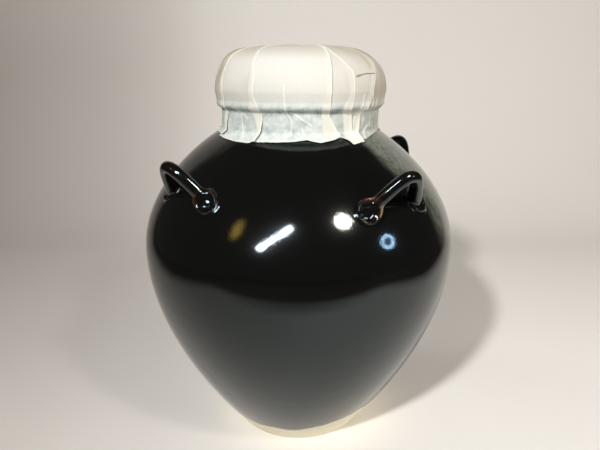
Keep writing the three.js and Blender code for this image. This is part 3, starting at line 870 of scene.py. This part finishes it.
def model_lug(jar, name, index):
    """A clay rod bent to an arch, with pads and their rims worked on to its ends, set on the shoulder."""
    spots, outward, up = lug_line(jar, index)
    parts, rims = [], []
    for root, knee, away, wear in zip(spots[::3], spots[1:3], outward, LUG_WEAR[index]):
        leg = (knee - root).normalized()
        down = (away * leg.dot(away) - leg).normalized()
        ball = {"segments": LUG_FACETS, "ring_count": LUG_RINGS}
        middle = root + down * jar.lug_pad_shift
        flat = 1 - 0.75 * (1 - wear)
        face = (away + down * jar.lug_pad_tilt * smooth(*THUMBED, wear)).normalized()
        pad = begin(name + "_pad", bpy.ops.mesh.primitive_uv_sphere_add, radius=jar.lug_pad, **ball)
        pad.scale = (1, 1.15, flat * jar.lug_pad_height / jar.lug_pad)
        aim(pad, middle, face, leg)
        skirt = begin(name + "_skirt", bpy.ops.mesh.primitive_uv_sphere_add, radius=jar.lug_skirt, **ball)
        skirt.scale = (1, 1.1, jar.lug_skirt_height / jar.lug_skirt)
        aim(skirt, middle - away * jar.lug_skirt_sink, away, leg)
        disc = {"radius": jar.lug_rim, "depth": 2 * flat * jar.lug_rim_height}
        rim = begin(name + "_rim", bpy.ops.mesh.primitive_cylinder_add, vertices=LUG_FACETS, **disc)
        rim.scale = (1, 1.1, 1)
        aim(rim, middle, face, leg)
        parts += [pad, skirt, rim]
        rims.append((middle, face, down, wear))
    piece = bent_rod(jar, name, spots)
    for part in parts:
        part.select_set(True)
    bpy.ops.object.join()
    apply_modifier(piece, "REMESH", mode="VOXEL", voxel_size=LUG_VOXEL)
    apply_modifier(piece, "SMOOTH", factor=0.5, iterations=10)
    seat_lug(piece, jar, rims, up)
    bpy.ops.object.shade_smooth()
    return piece


def seat_lug(piece, jar, rims, up):
    """Flattens the roots inside the wall, dents the pads and marks where the glaze runs thin."""
    run = wall_runs(jar)[1]
    thin = []
    normals = [vertex.normal.copy() for vertex in piece.data.vertices]
    for vertex, normal in zip(piece.data.vertices, normals):
        depth, away = depth_below(run, vertex.co)
        if depth > jar.lug_bury:
            vertex.co += away * (depth - jar.lug_bury)
        patch = patchy(*(vertex.co * 160))
        wide = patchy(*(vertex.co * 75))
        crest = 0.3 * patch * smooth(0.1, 1.0, normal.dot(up))
        edge, knob = 0.0, 0.0
        for middle, away, down, wear in rims:
            off = vertex.co - middle
            along = off.dot(away)
            beside = off - away * along
            from_rim = math.hypot(along - jar.lug_rim_height, beside.length - jar.lug_rim)
            above = smooth(0.35, -0.35, beside.normalized().dot(down))
            ring = bell(from_rim / (2.2 * MM)) * (0.06 + 0.94 * above)
            edge = max(edge, wear * ring * smooth(0.2, 0.55, wide))
            knob = max(knob, smooth(9.5, 7.2, beside.length / MM) * smooth(8, 5.5, along / MM))
            off_thumb = (beside - down * jar.lug_pad_shift).length / MM
            thumb = smooth(7.2, 1.8, off_thumb) * smooth(*THUMBED, wear)
            vertex.co -= away * THUMB_DEPTH * thumb * smooth(1.0, 4.0, along / MM)
        vertex.co += normal * 0.25 * MM * knob * ripple(*(vertex.co * 260))
        broken = 0.05 + crest * (1 - knob) + 0.2 * knob * smooth(0.45, 0.8, wide)
        broken += 1.5 * edge * (0.5 + 0.5 * patch)
        thin.append(min(smooth(0.5, 3.0, -depth / MM) * broken, 1.0))
    store(piece, "thin", thin)
    for name in ("ash", "bare"):
        store(piece, name, [0.0] * len(thin))


def lid_side(lid, jar):
    """Outside of the lid from the edge of its flat top down to its underside."""
    base = jar.rim_height + lid.seat_gap
    top = Vector((lid.top_radius, lid.top))
    widest = Vector((lid.radius, base + lid.widest))
    past_top = top + Vector((lid.top_round, 0))
    above_widest = widest + Vector((0, lid.side_round))
    curve = bow(top, past_top, above_widest, widest, LID_STEPS)
    rim = Vector((lid.rim_radius, base))
    return curve + [widest + (rim - widest) * step / RIM_STEPS for step in range(1, RIM_STEPS + 1)]


def model_lid(lid, jar):
    """The turned lid with its plug."""
    plug = jar.mouth_radius - lid.plug_clearance
    base = jar.rim_height + lid.seat_gap
    foot = base - lid.plug_depth
    under = [
        Vector((0, foot)),
        Vector((plug * 0.5, foot)),
        Vector((plug - lid.plug_chamfer, foot)),
        Vector((plug - lid.plug_chamfer * 0.3, foot + lid.plug_chamfer * 0.3)),
        Vector((plug, foot + lid.plug_chamfer)),
        Vector((plug, base)),
    ]
    side = lid_side(lid, jar)[::-1]
    piece = turn_profile("lid_turned", joined(under, side, [Vector((0, lid.top))]), LID_SEGMENTS)
    for vertex in piece.data.vertices:
        vertex.co.x += lean(vertex.co.z)
    return piece


class Path:
    """A run of points on the jar or lid that paper lies on, read by the distance along it."""

    def __init__(self, points):
        self.points = points
        self.reach = [0.0]
        for here, there in zip(points, points[1:]):
            self.reach.append(self.reach[-1] + (there - here).length)

    def at(self, distance):
        """Point and outward direction at a distance, run on straight past the end."""
        last = len(self.points) - 2
        index = 0
        while index < last and self.reach[index + 1] < distance:
            index += 1
        here, there = self.points[index], self.points[index + 1]
        slope = (there - here).normalized()
        before = self.points[max(index - 1, 0)]
        after = self.points[min(index + 2, last + 1)]
        share = (distance - self.reach[index]) / max(self.reach[index + 1] - self.reach[index], 1e-9)
        start = (there - before).normalized()
        end = (after - here).normalized()
        tangent = (start * (1 - share) + end * share).normalized() if 0 <= share <= 1 else slope
        return here + slope * (distance - self.reach[index]), Vector((-tangent.y, tangent.x))


def strip_edge(index, height):
    """Angle in degrees of a strip's free edge at a height in mm, counted on past the last strip."""
    count = len(STRIP_EDGES)
    turns, place = divmod(index, count)
    wander = 0.25 * ripple(height * 0.11, index * 7.3)
    return interpolate(STRIP_EDGES[place], height) + 360 * turns + wander


def lap(lid, index, height):
    """How many degrees a strip covers of the next one at a height in mm."""
    on_lip, at_end = STRIP_LAPS[index % len(STRIP_LAPS)]
    on_lid = math.degrees(lid.lap_lid)
    on_neck = on_lip + (at_end - on_lip) * smooth(*LAP_END_BAND, height)
    return on_lid + (on_neck - on_lid) * smooth(*LAP_BAND, height)


def covered_edge(lid, index, height):
    """Angle of a strip's other edge, which lies under the strip before it."""
    return strip_edge(index - 1, height) - lap(lid, index - 1, height)


def layers_under(lid, index, turn, height, soft):
    """How many later strips lie under a strip at a place, with a ramp that is soft degrees wide."""
    count = 0.0
    for later in (index + 1, index + 2, index + 3):
        start = covered_edge(lid, later, height)
        count += smooth(start - soft, start, turn)
    return count


def off_line(points, turn, height):
    """Distance in mm from a place on the paper to a line of angles and heights."""
    best = math.inf
    for (t0, h0), (t1, h1) in zip(points, points[1:]):
        across, rise = (t1 - t0) * DEGREE, h1 - h0
        x, y = (turn - t0) * DEGREE, height - h0
        share = min(max((x * across + y * rise) / (across**2 + rise**2), 0.0), 1.0)
        best = min(best, math.hypot(x - share * across, y - share * rise))
    return best


def fold_share(lid, turn, height):
    """How much a pressed fold shows at a place, from 0 to 1."""
    turn = (turn - FIRST_TURN) % 360 + FIRST_TURN
    half = lid.fold_width / MM * 0.5
    best = 0.0
    for points in FOLDS:
        turns = [point[0] for point in points]
        if min(turns) - 4 < turn < max(turns) + 4:
            best = max(best, bell(off_line(points, turn, height) / half))
    return best


def slit_share(turn, height):
    """How open the slit in the paper is at a place, from 0 to 1. It is widest at its left end."""
    if not SLIT[0][0] - 3 < turn < SLIT[-1][0] + 3:
        return 0.0
    width = 0.36 + 0.25 * smooth(42, 38, turn)
    return bell(off_line(SLIT, turn, height) / width)


def corner_share(turn, height):
    """How far the paper stands off the lid's corner at a place, from 0 to 1."""
    middle, level, width, depth = CORNER
    off = (turn - middle + 180) % 360 - 180
    return bell(off / width) * bell((height - level) / depth)


def edge_shadow_share(index, turn, height, radius):
    """How dark the painted shadow is on a strip beside the free edge of the strip before it, where that edge
    stands off.
    """
    best = 0.0
    for strip, low, high, strength in EDGE_SHADOW_LINES:
        beside = math.radians(turn - strip_edge(strip, height)) * radius / MM
        if strip == index - 1 and beside > -EDGE_SHADOW_WIDTH:
            reach = smooth(low - 2, low + 2, height) * smooth(high + 2, high - 2, height)
            best = max(best, strength * reach * bell(beside / EDGE_SHADOW_WIDTH))
    return best


def paper_tone_and_shade(index, turn, height):
    """How far a strip has yellowed at a place, with painted shade on the lid's top, on the strips at its
    sides and in its wrinkles.
    """
    on_lid, on_neck = STRIP_TONES_AND_SHADE[index]
    tone = on_lid + (on_neck - on_lid) * smooth(*TONE_BAND, height)
    tone *= 0.75 + 0.5 * ripple(turn * 0.12, height * 0.09)
    # Painted shade: the top of the lid is darkened for the light that falls less on it
    tone += 0.7 * smooth(*SHADED_TOP_BAND, height)
    # Painted shade of wrinkles, in brownish patches
    for place, level, radius, strength in WRINKLE_SHADE_PATCHES:
        off = math.hypot((turn - place) * DEGREE, height - level)
        tone += strength * bell(off / radius)
    return tone


def pucker(turn, height):
    """Unevenness of the dried paper, from 0 to 1: pleats on the neck and slow waves on the lid."""
    circle = math.radians(turn)
    x, y = math.sin(circle), math.cos(circle)
    pleat = patchy(x * 9, y * 9, height * 0.035)
    fine = patchy(x * 26, y * 26, height * 0.09)
    wave = patchy(x * 4, y * 4, height * 0.06 + 3)
    neck = smooth(*PUCKER_BAND, height)
    return neck * (0.7 * pleat * pleat + 0.3 * fine) + (1 - neck) * 0.35 * wave


def paper_strip(lid, name, index, path, reach_at, columns, rows):
    """A grid of paper laid along a path between a strip's edges, with folds, puckers and a thickness."""
    grid = {"x_subdivisions": columns, "y_subdivisions": rows, "size": 1}
    piece = begin(name, bpy.ops.mesh.primitive_grid_add, **grid)
    marks = []
    for vertex in piece.data.vertices:
        across, along = vertex.co.x + 0.5, 0.5 - vertex.co.y
        # The height sets the angle and the angle the reach, so both are found in two rounds
        height = NECK_LEVEL
        for _ in range(2):
            turn = covered_edge(lid, index, height) * (1 - across) + strip_edge(index, height) * across
            spot, out = path.at(along * reach_at(turn))
            height = spot.y / MM
        crease = fold_share(lid, turn, height)
        cut = slit_share(turn, height)
        edge_off = math.radians(strip_edge(index, height) - turn) * spot.x / MM
        rise = lid.paste + layers_under(lid, index, turn, height, LAP_RAMP) * (lid.paper + LAYER_GAP)
        rise += lid.pucker * pucker(turn, height) + lid.fold_height * crease - SLIT_DEPTH * cut
        rise += lid.edge_lift * smooth(*TORN_BAND, height) * bell(edge_off / 3.0)
        rise += EDGE_CURL * smooth(*EDGE_BAND, height) * bell(edge_off / 1.2)
        rise += lid.corner_lift * corner_share(turn, height)
        place = spot + out * rise
        circle = math.radians(turn)
        vertex.co = (place.x * math.sin(circle) + lean(place.y), -place.x * math.cos(circle), place.y)
        # The last 3 mm of a tail stand off the glaze, which shows less there
        loose = 1 - 0.5 * smooth(1.0 - 3.0 * MM / reach_at(turn), 1.0, along) * smooth(*LOOSE_BAND, height)
        blotch = 0.8 + 0.5 * ripple(turn * 0.17, height * 0.23) + 0.2 * ripple(turn * 0.6, height * 0.8)
        doubled = min(layers_under(lid, index, turn, height, LAP_LINE), 1.0)
        doubled *= 0.2 + 0.7 * smooth(*DOUBLE_BAND, height)
        look = (
            # Glaze showing through, with painted shade under the lip
            interpolate(SHOW_THROUGH_AND_SHADE, height) * loose * blotch,
            # Painted highlights: thin light lines along the free edge, in the second layer and the fold marks
            max(doubled, 0.8 * bell(edge_off / 1.5)),
            max(crease * 0.7, 0.95 * bell(edge_off / 0.7)),
            # Painted shadow in the slit and beside lifted free edges
            max(cut, edge_shadow_share(index, turn, height, spot.x)),
            paper_tone_and_shade(index, turn, height),
        )
        marks.append(look)
    for mark_name, values in zip(PAPER_MARKS, zip(*marks)):
        store(piece, mark_name, values)
    middle = piece.data.polygons[0].center
    face_out(piece, Vector((middle.x, middle.y, 0.05)))
    apply_modifier(piece, "SOLIDIFY", thickness=lid.paper, offset=1.0)
    bpy.ops.object.shade_smooth_by_angle(angle=math.radians(40))
    return piece


def strip_width(lid, index):
    """Width of a strip in degrees at the lip."""
    return strip_edge(index, LIP_LEVEL) - covered_edge(lid, index, LIP_LEVEL)


class TEAJAR_OT_jar(bpy.types.Operator):
    """Spin the glazed jar"""

    bl_idname = "teajar.jar"
    bl_label = "Jar"

    def execute(self, context):
        piece = model_jar(context.scene.tea_jar_body)
        fit_out(piece, "jar", "black_glaze", "jar_body")
        return {"FINISHED"}


class TEAJAR_OT_lugs(bpy.types.Operator):
    """Set the cord lugs on the shoulder"""

    bl_idname = "teajar.lugs"
    bl_label = "Lugs"

    def execute(self, context):
        jar = context.scene.tea_jar_body
        for index, name in enumerate(LUG_NAMES):
            piece = model_lug(jar, f"lug_{name}_clay", index)
            fit_out(piece, "jar", "black_glaze", f"lug_{name}")
        return {"FINISHED"}


class TEAJAR_OT_lid(bpy.types.Operator):
    """Turn the wooden lid"""

    bl_idname = "teajar.lid"
    bl_label = "Lid"

    def execute(self, context):
        piece = model_lid(context.scene.tea_jar_lid, context.scene.tea_jar_body)
        fit_out(piece, "lid", "lid_wood", "lid_core")
        return {"FINISHED"}


class TEAJAR_OT_lid_paper(bpy.types.Operator):
    """Paste the paper strips and the round paper on the lid"""

    bl_idname = "teajar.lid_paper"
    bl_label = "Lid paper"

    def execute(self, context):
        lid = context.scene.tea_jar_lid
        jar = context.scene.tea_jar_body
        path = Path([Vector((lid.strip_top, lid.top)), *lid_side(lid, jar)])
        for index in range(len(STRIP_EDGES)):
            columns = round(strip_width(lid, index) / LID_COLUMN)
            name = f"lid_strip_{index + 1:02d}"
            rows = SLIT_ROWS if index == SLIT_STRIP else LID_ROWS
            piece = paper_strip(lid, name + "_paper", index, path, lambda turn: path.reach[-1], columns, rows)
            fit_out(piece, "lid", "seal_paper", name)
        piece = model_crown(lid)
        fit_out(piece, "lid", "seal_paper", "lid_crown_paper")
        return {"FINISHED"}


def model_crown(lid):
    """The round paper that covers the ends of the strips, torn to a circle by hand."""
    foot = lid.top + lid.paste + 3 * (lid.paper + LAYER_GAP) + 0.45 * lid.pucker
    under = [Vector((lid.crown_radius * step / CROWN_STEPS, foot)) for step in range(CROWN_STEPS + 1)]
    over = [spot + Vector((0, lid.paper)) for spot in reversed(under)]
    piece = turn_profile("lid_crown_paper_round", under + over, CROWN_SEGMENTS)
    for vertex in piece.data.vertices:
        spot = vertex.co
        share = math.hypot(spot.x, spot.y) / lid.crown_radius
        turn = math.atan2(spot.y, spot.x)
        x, y = math.cos(turn), math.sin(turn)
        ragged = 0.035 * ripple(3 * x, 3 * y) + 0.02 * ripple(x * 16, y * 16)
        spot.x *= 1 + ragged * share**3
        spot.y *= 1 + ragged * share**3
        spot.z += 0.25 * MM * ripple(spot.x * 90, spot.y * 90) - 0.5 * MM * smooth(0.8, 1.0, share)
        spot.x += lean(spot.z)
    for name, value in zip(PAPER_MARKS, (0.0, 0.6, 0.0, 0.0, 0.3)):
        store(piece, name, [value] * len(piece.data.vertices))
    return piece


def torn_reach(lid, foot, ends, turn):
    """How far down its path a neck strip reaches at an angle, past the neck's foot to its ragged end."""
    ragged = lid.deckle * (0.6 * ripple(turn * 0.9, 4.0) + 0.4 * ripple(turn * 3.1, 9.0))
    return foot + interpolate(ends, turn) * MM + ragged


class TEAJAR_OT_neck_paper(bpy.types.Operator):
    """Paste the lower halves of the strips over the lip and neck"""

    bl_idname = "teajar.neck_paper"
    bl_label = "Neck paper"

    def execute(self, context):
        lid = context.scene.tea_jar_lid
        jar = context.scene.tea_jar_body
        neck = neck_run(jar)[::-1]
        shoulder = wall_runs(jar)[1][::-1]
        seam = Vector((lid.rim_radius, jar.rim_height + lid.seat_gap))
        path = Path([seam, *joined(neck, shoulder[:14])])
        foot = Path([seam, *neck]).reach[-1]
        for index, ends in enumerate(STRIP_ENDS):
            columns = round(strip_width(lid, index) / NECK_COLUMN)
            name = f"neck_strip_{index + 1:02d}"
            reach_at = partial(torn_reach, lid, foot, ends)
            piece = paper_strip(lid, name + "_paper", index, path, reach_at, columns, NECK_ROWS)
            fit_out(piece, "jar", "seal_paper", name)
        return {"FINISHED"}


def lamp(name, start, end, width, power, shade, mirrored, glow=()):
    """An area lamp between two points, or a round one where they are the same, that faces the jar's shoulder.

    A mirrored lamp only shows in the glaze, and the others only light the scene. The glow sets how bright
    a lamp is from its middle to its rim, as two radii out of 0.5 and the shares at them.
    """
    start, end = Vector(start), Vector(end)
    centre = (start + end) / 2
    away = (centre - LAMP_AIM).normalized()
    side = end - start if start != end else Vector((0, 0, 1)).cross(away)
    side = (side - away * side.dot(away)).normalized()
    bpy.ops.object.light_add(type="AREA", location=centre)
    light = bpy.context.active_object
    light.name = name
    light.rotation_euler = Matrix((side, away.cross(side), away)).transposed().to_euler()
    light.data.shape = "RECTANGLE" if start != end else "DISK"
    light.data.size = (end - start).length or width
    light.data.size_y = width
    light.data.energy = power
    light.data.color = linear(shade)
    light.visible_camera = False
    light.visible_glossy = mirrored
    light.visible_diffuse = not mirrored
    if glow:
        light.data.shape = "ELLIPSE" if start != end else "DISK"
        light.data.use_nodes = True
        tree = light.data.node_tree
        tree.nodes.clear()
        spot = add(tree, "ShaderNodeNewGeometry").outputs["Parametric"]
        middle = add(tree, "ShaderNodeVectorMath", {0: spot, 1: (0.5, 0.5, 0.0)}, operation="DISTANCE")
        limits = dict(zip(("From Min", "From Max", "To Min", "To Max"), glow))
        ring = add(tree, RANGE, {"Value": middle.outputs["Value"], **limits})
        shine = add(tree, "ShaderNodeEmission", {"Strength": ring.outputs[0]})
        add(tree, "ShaderNodeOutputLight", {"Surface": shine.outputs[0]})


def sheet_material(stage):
    """Matt pale sheet with painted warm shade on the left and towards the back, with the dark table past its
    edges.
    """
    material, tree, shader, place = new_material("pale_sheet")
    side, depth = add(tree, "ShaderNodeSeparateXYZ", {0: place}).outputs[:2]
    near, far = (edge - stage.sheet_front for edge in FRONT_FADE)
    front = add(tree, RANGE, {"Value": depth, "From Min": near, "From Max": far}).outputs[0]
    # The sheet is narrow in front and widens behind the jar
    behind = add(tree, MATH, {0: depth, 1: 0.0}, operation="MAXIMUM").outputs[0]
    reach = add(tree, MATH, {0: behind, 1: 0.6, 2: stage.sheet_half}, operation="MULTIPLY_ADD").outputs[0]
    aside_by = add(tree, MATH, {0: side}, operation="ABSOLUTE").outputs[0]
    inside = add(tree, MATH, {0: reach, 1: aside_by}, operation="SUBTRACT").outputs[0]
    low, high = SIDE_FADE
    beside = add(tree, RANGE, {"Value": inside, "From Min": low, "From Max": high}).outputs[0]
    # Painted falloff of the light towards the dark table at the sheet's edges
    lit = add(tree, MATH, {0: front, 1: beside}, operation="MULTIPLY").outputs[0]
    # The shade falls across the sheet at a slant, darker in front than behind
    slant = add(tree, MATH, {0: depth, 1: SHADE_SLANT, 2: side}, operation="MULTIPLY_ADD").outputs[0]
    across = add(tree, RANGE, {"Value": slant, "From Min": -SHADE_REACH, "From Max": SHADE_REACH}).outputs[0]
    ramp = add(tree, "ShaderNodeValToRGB", {0: across})
    steps = ramp.color_ramp.elements
    while len(steps) < len(SHEET_SHADE):
        steps.new(0.5)
    for step, (spot, pallor) in zip(steps, SHEET_SHADE):
        step.position = 0.5 + 0.5 * spot * MM / SHADE_REACH
        step.color = (pallor, pallor, pallor, 1)
    # It also darkens a little towards the back, in painted shade
    back = add(tree, RANGE, {"Value": depth, "From Max": 0.5, "To Min": 1.0, "To Max": 0.81}).outputs[0]
    share = add(tree, MATH, {0: ramp.outputs[0], 1: back}, operation="MULTIPLY").outputs[0]
    shades = {0: share, 6: rgba(stage.sheet_shade), 7: rgba(stage.sheet)}
    pale = add(tree, MIX, shades, data_type="RGBA").outputs[2]
    ground = add(tree, MIX, {0: lit, 6: rgba(stage.table), 7: pale}, data_type="RGBA").outputs[2]
    fill(tree, shader, {"Base Color": ground, "Roughness": 0.9, "Specular IOR Level": 0.2})
    return material


def model_sheet(stage):
    """A sheet that runs along the table and curves up behind the jar."""
    side = stage.sheet_side
    profile = [Vector((place, 0)) for place in (*SHEET_FRONT, 0, stage.sheet_back)]
    for step in range(1, BEND_STEPS + 1):
        turn = math.pi / 2 * step / BEND_STEPS
        bend = Vector((math.sin(turn), 1 - math.cos(turn))) * stage.sheet_bend
        profile.append(Vector((stage.sheet_back, 0)) + bend)
    profile.append(profile[-1] + Vector((0, stage.sheet_rise)))
    piece = drawn("pale_sheet", [(-side, spot.x, spot.y) for spot in profile])
    bpy.ops.mesh.extrude_region_move(TRANSFORM_OT_translate={"value": (2 * side, 0, 0)})
    face_out(piece, Vector((0, 0, 1)))
    bpy.ops.object.shade_smooth()
    piece.data.materials.append(sheet_material(stage))


def light_room():
    """A dim room with four lamps that the glaze mirrors and four that light the jar: a small key lamp at the
    front left, a low fill and a round lamp at the right, and one at the back left."""
    world = bpy.data.worlds.new("room")
    bpy.context.scene.world = world
    world.use_nodes = True
    tree = world.node_tree
    tree.nodes.clear()
    glow = add(tree, "ShaderNodeBackground", {"Color": (0.04, 0.039, 0.037, 1), "Strength": 1.0})
    add(tree, "ShaderNodeOutputWorld", {"Surface": glow.outputs[0]})
    lamp("tube_left", (-0.523, -0.991, 0.615), (-0.084, -0.887, 0.966), 0.085, 11, "#f4f7ff", True)
    lamp("bulb_right", BULB, BULB, 0.235, 7.5, "#fff3e2", True)
    ring, haze = (0.25, 0.4, 0.04, 1.0), (0.0, 0.5, 1.0, 0.0)
    lamp("screen_right", (1.027, -0.486, 0.524), (1.027, -0.486, 0.524), 0.21, 2.8, "#bcdcff", True, ring)
    lamp("shade_left", (-0.652, -0.588, 0.974), (-0.834, -0.738, 0.629), 0.2, 1.2, "#ffc860", True, haze)
    lamp("key_left", (-0.415, -0.889, 0.853), (-0.415, -0.889, 0.853), 0.09, 13.4, "#fefdfc", False)
    lamp("fill_right", (1.2, -0.9, 0.34), (1.2, -0.3, 0.34), 0.5, 7.8, "#fff6f0", False)
    lamp("glow_right", BULB, BULB, 0.14, 3.2, "#fffaf4", False)
    lamp("back_left", (-0.9, 0.2, 0.9), (-0.9, 0.5, 0.9), 0.4, 2.3, "#fffcf8", False)


class TEAJAR_OT_stage(bpy.types.Operator):
    """Place the floor, the lights and the camera"""

    bl_idname = "teajar.stage"
    bl_label = "Stage"

    def execute(self, context):
        stage = context.scene.tea_jar_stage
        model_sheet(stage)
        light_room()
        bpy.ops.object.camera_add(
            location=(stage.camera_side, -stage.camera_back, stage.camera_height),
            rotation=(math.pi / 2 - stage.camera_pitch, 0, 0),
        )
        camera = context.active_object
        camera.data.lens = stage.lens
        camera.data.sensor_width = 36
        camera.data.clip_start = 0.01
        context.scene.camera = camera
        context.scene.view_settings.view_transform = "Standard"
        return {"FINISHED"}


class TEAJAR_PT_panel(bpy.types.Panel):
    """The jar's pieces and sizes in the sidebar"""

    bl_idname = "TEAJAR_PT_panel"
    bl_label = "Tea jar"
    bl_space_type = "VIEW_3D"
    bl_region_type = "UI"
    bl_category = "Tea jar"

    def draw(self, context):
        for operator in OPERATORS:
            self.layout.operator(operator.bl_idname)
        for group in GROUPS:
            box = self.layout.box()
            box.label(text=group.__doc__)
            settings = getattr(context.scene, GROUPS[group])
            for field in group.__annotations__:
                box.prop(settings, field)


GROUPS = {
    TeaJarBodySizes: "tea_jar_body",
    TeaJarLidSizes: "tea_jar_lid",
    TeaJarColours: "tea_jar_colours",
    TeaJarStage: "tea_jar_stage",
}
OPERATORS = (
    TEAJAR_OT_jar,
    TEAJAR_OT_lugs,
    TEAJAR_OT_lid,
    TEAJAR_OT_lid_paper,
    TEAJAR_OT_neck_paper,
    TEAJAR_OT_stage,
)


def register():
    """Adds the classes and hangs the settings on the scene."""
    for kind in (*GROUPS, *OPERATORS, TEAJAR_PT_panel):
        bpy.utils.register_class(kind)
    for group, name in GROUPS.items():
        setattr(bpy.types.Scene, name, PointerProperty(type=group))


def unregister():
    """Takes the settings and classes away again."""
    for name in GROUPS.values():
        delattr(bpy.types.Scene, name)
    for kind in reversed((*GROUPS, *OPERATORS, TEAJAR_PT_panel)):
        bpy.utils.unregister_class(kind)


def main():
    """Registers the settings and builds every piece and the stage."""
    register()
    bpy.ops.teajar.jar()
    bpy.ops.teajar.lugs()
    bpy.ops.teajar.lid()
    bpy.ops.teajar.lid_paper()
    bpy.ops.teajar.neck_paper()
    bpy.ops.teajar.stage()


if __name__ == "__main__":
    main()
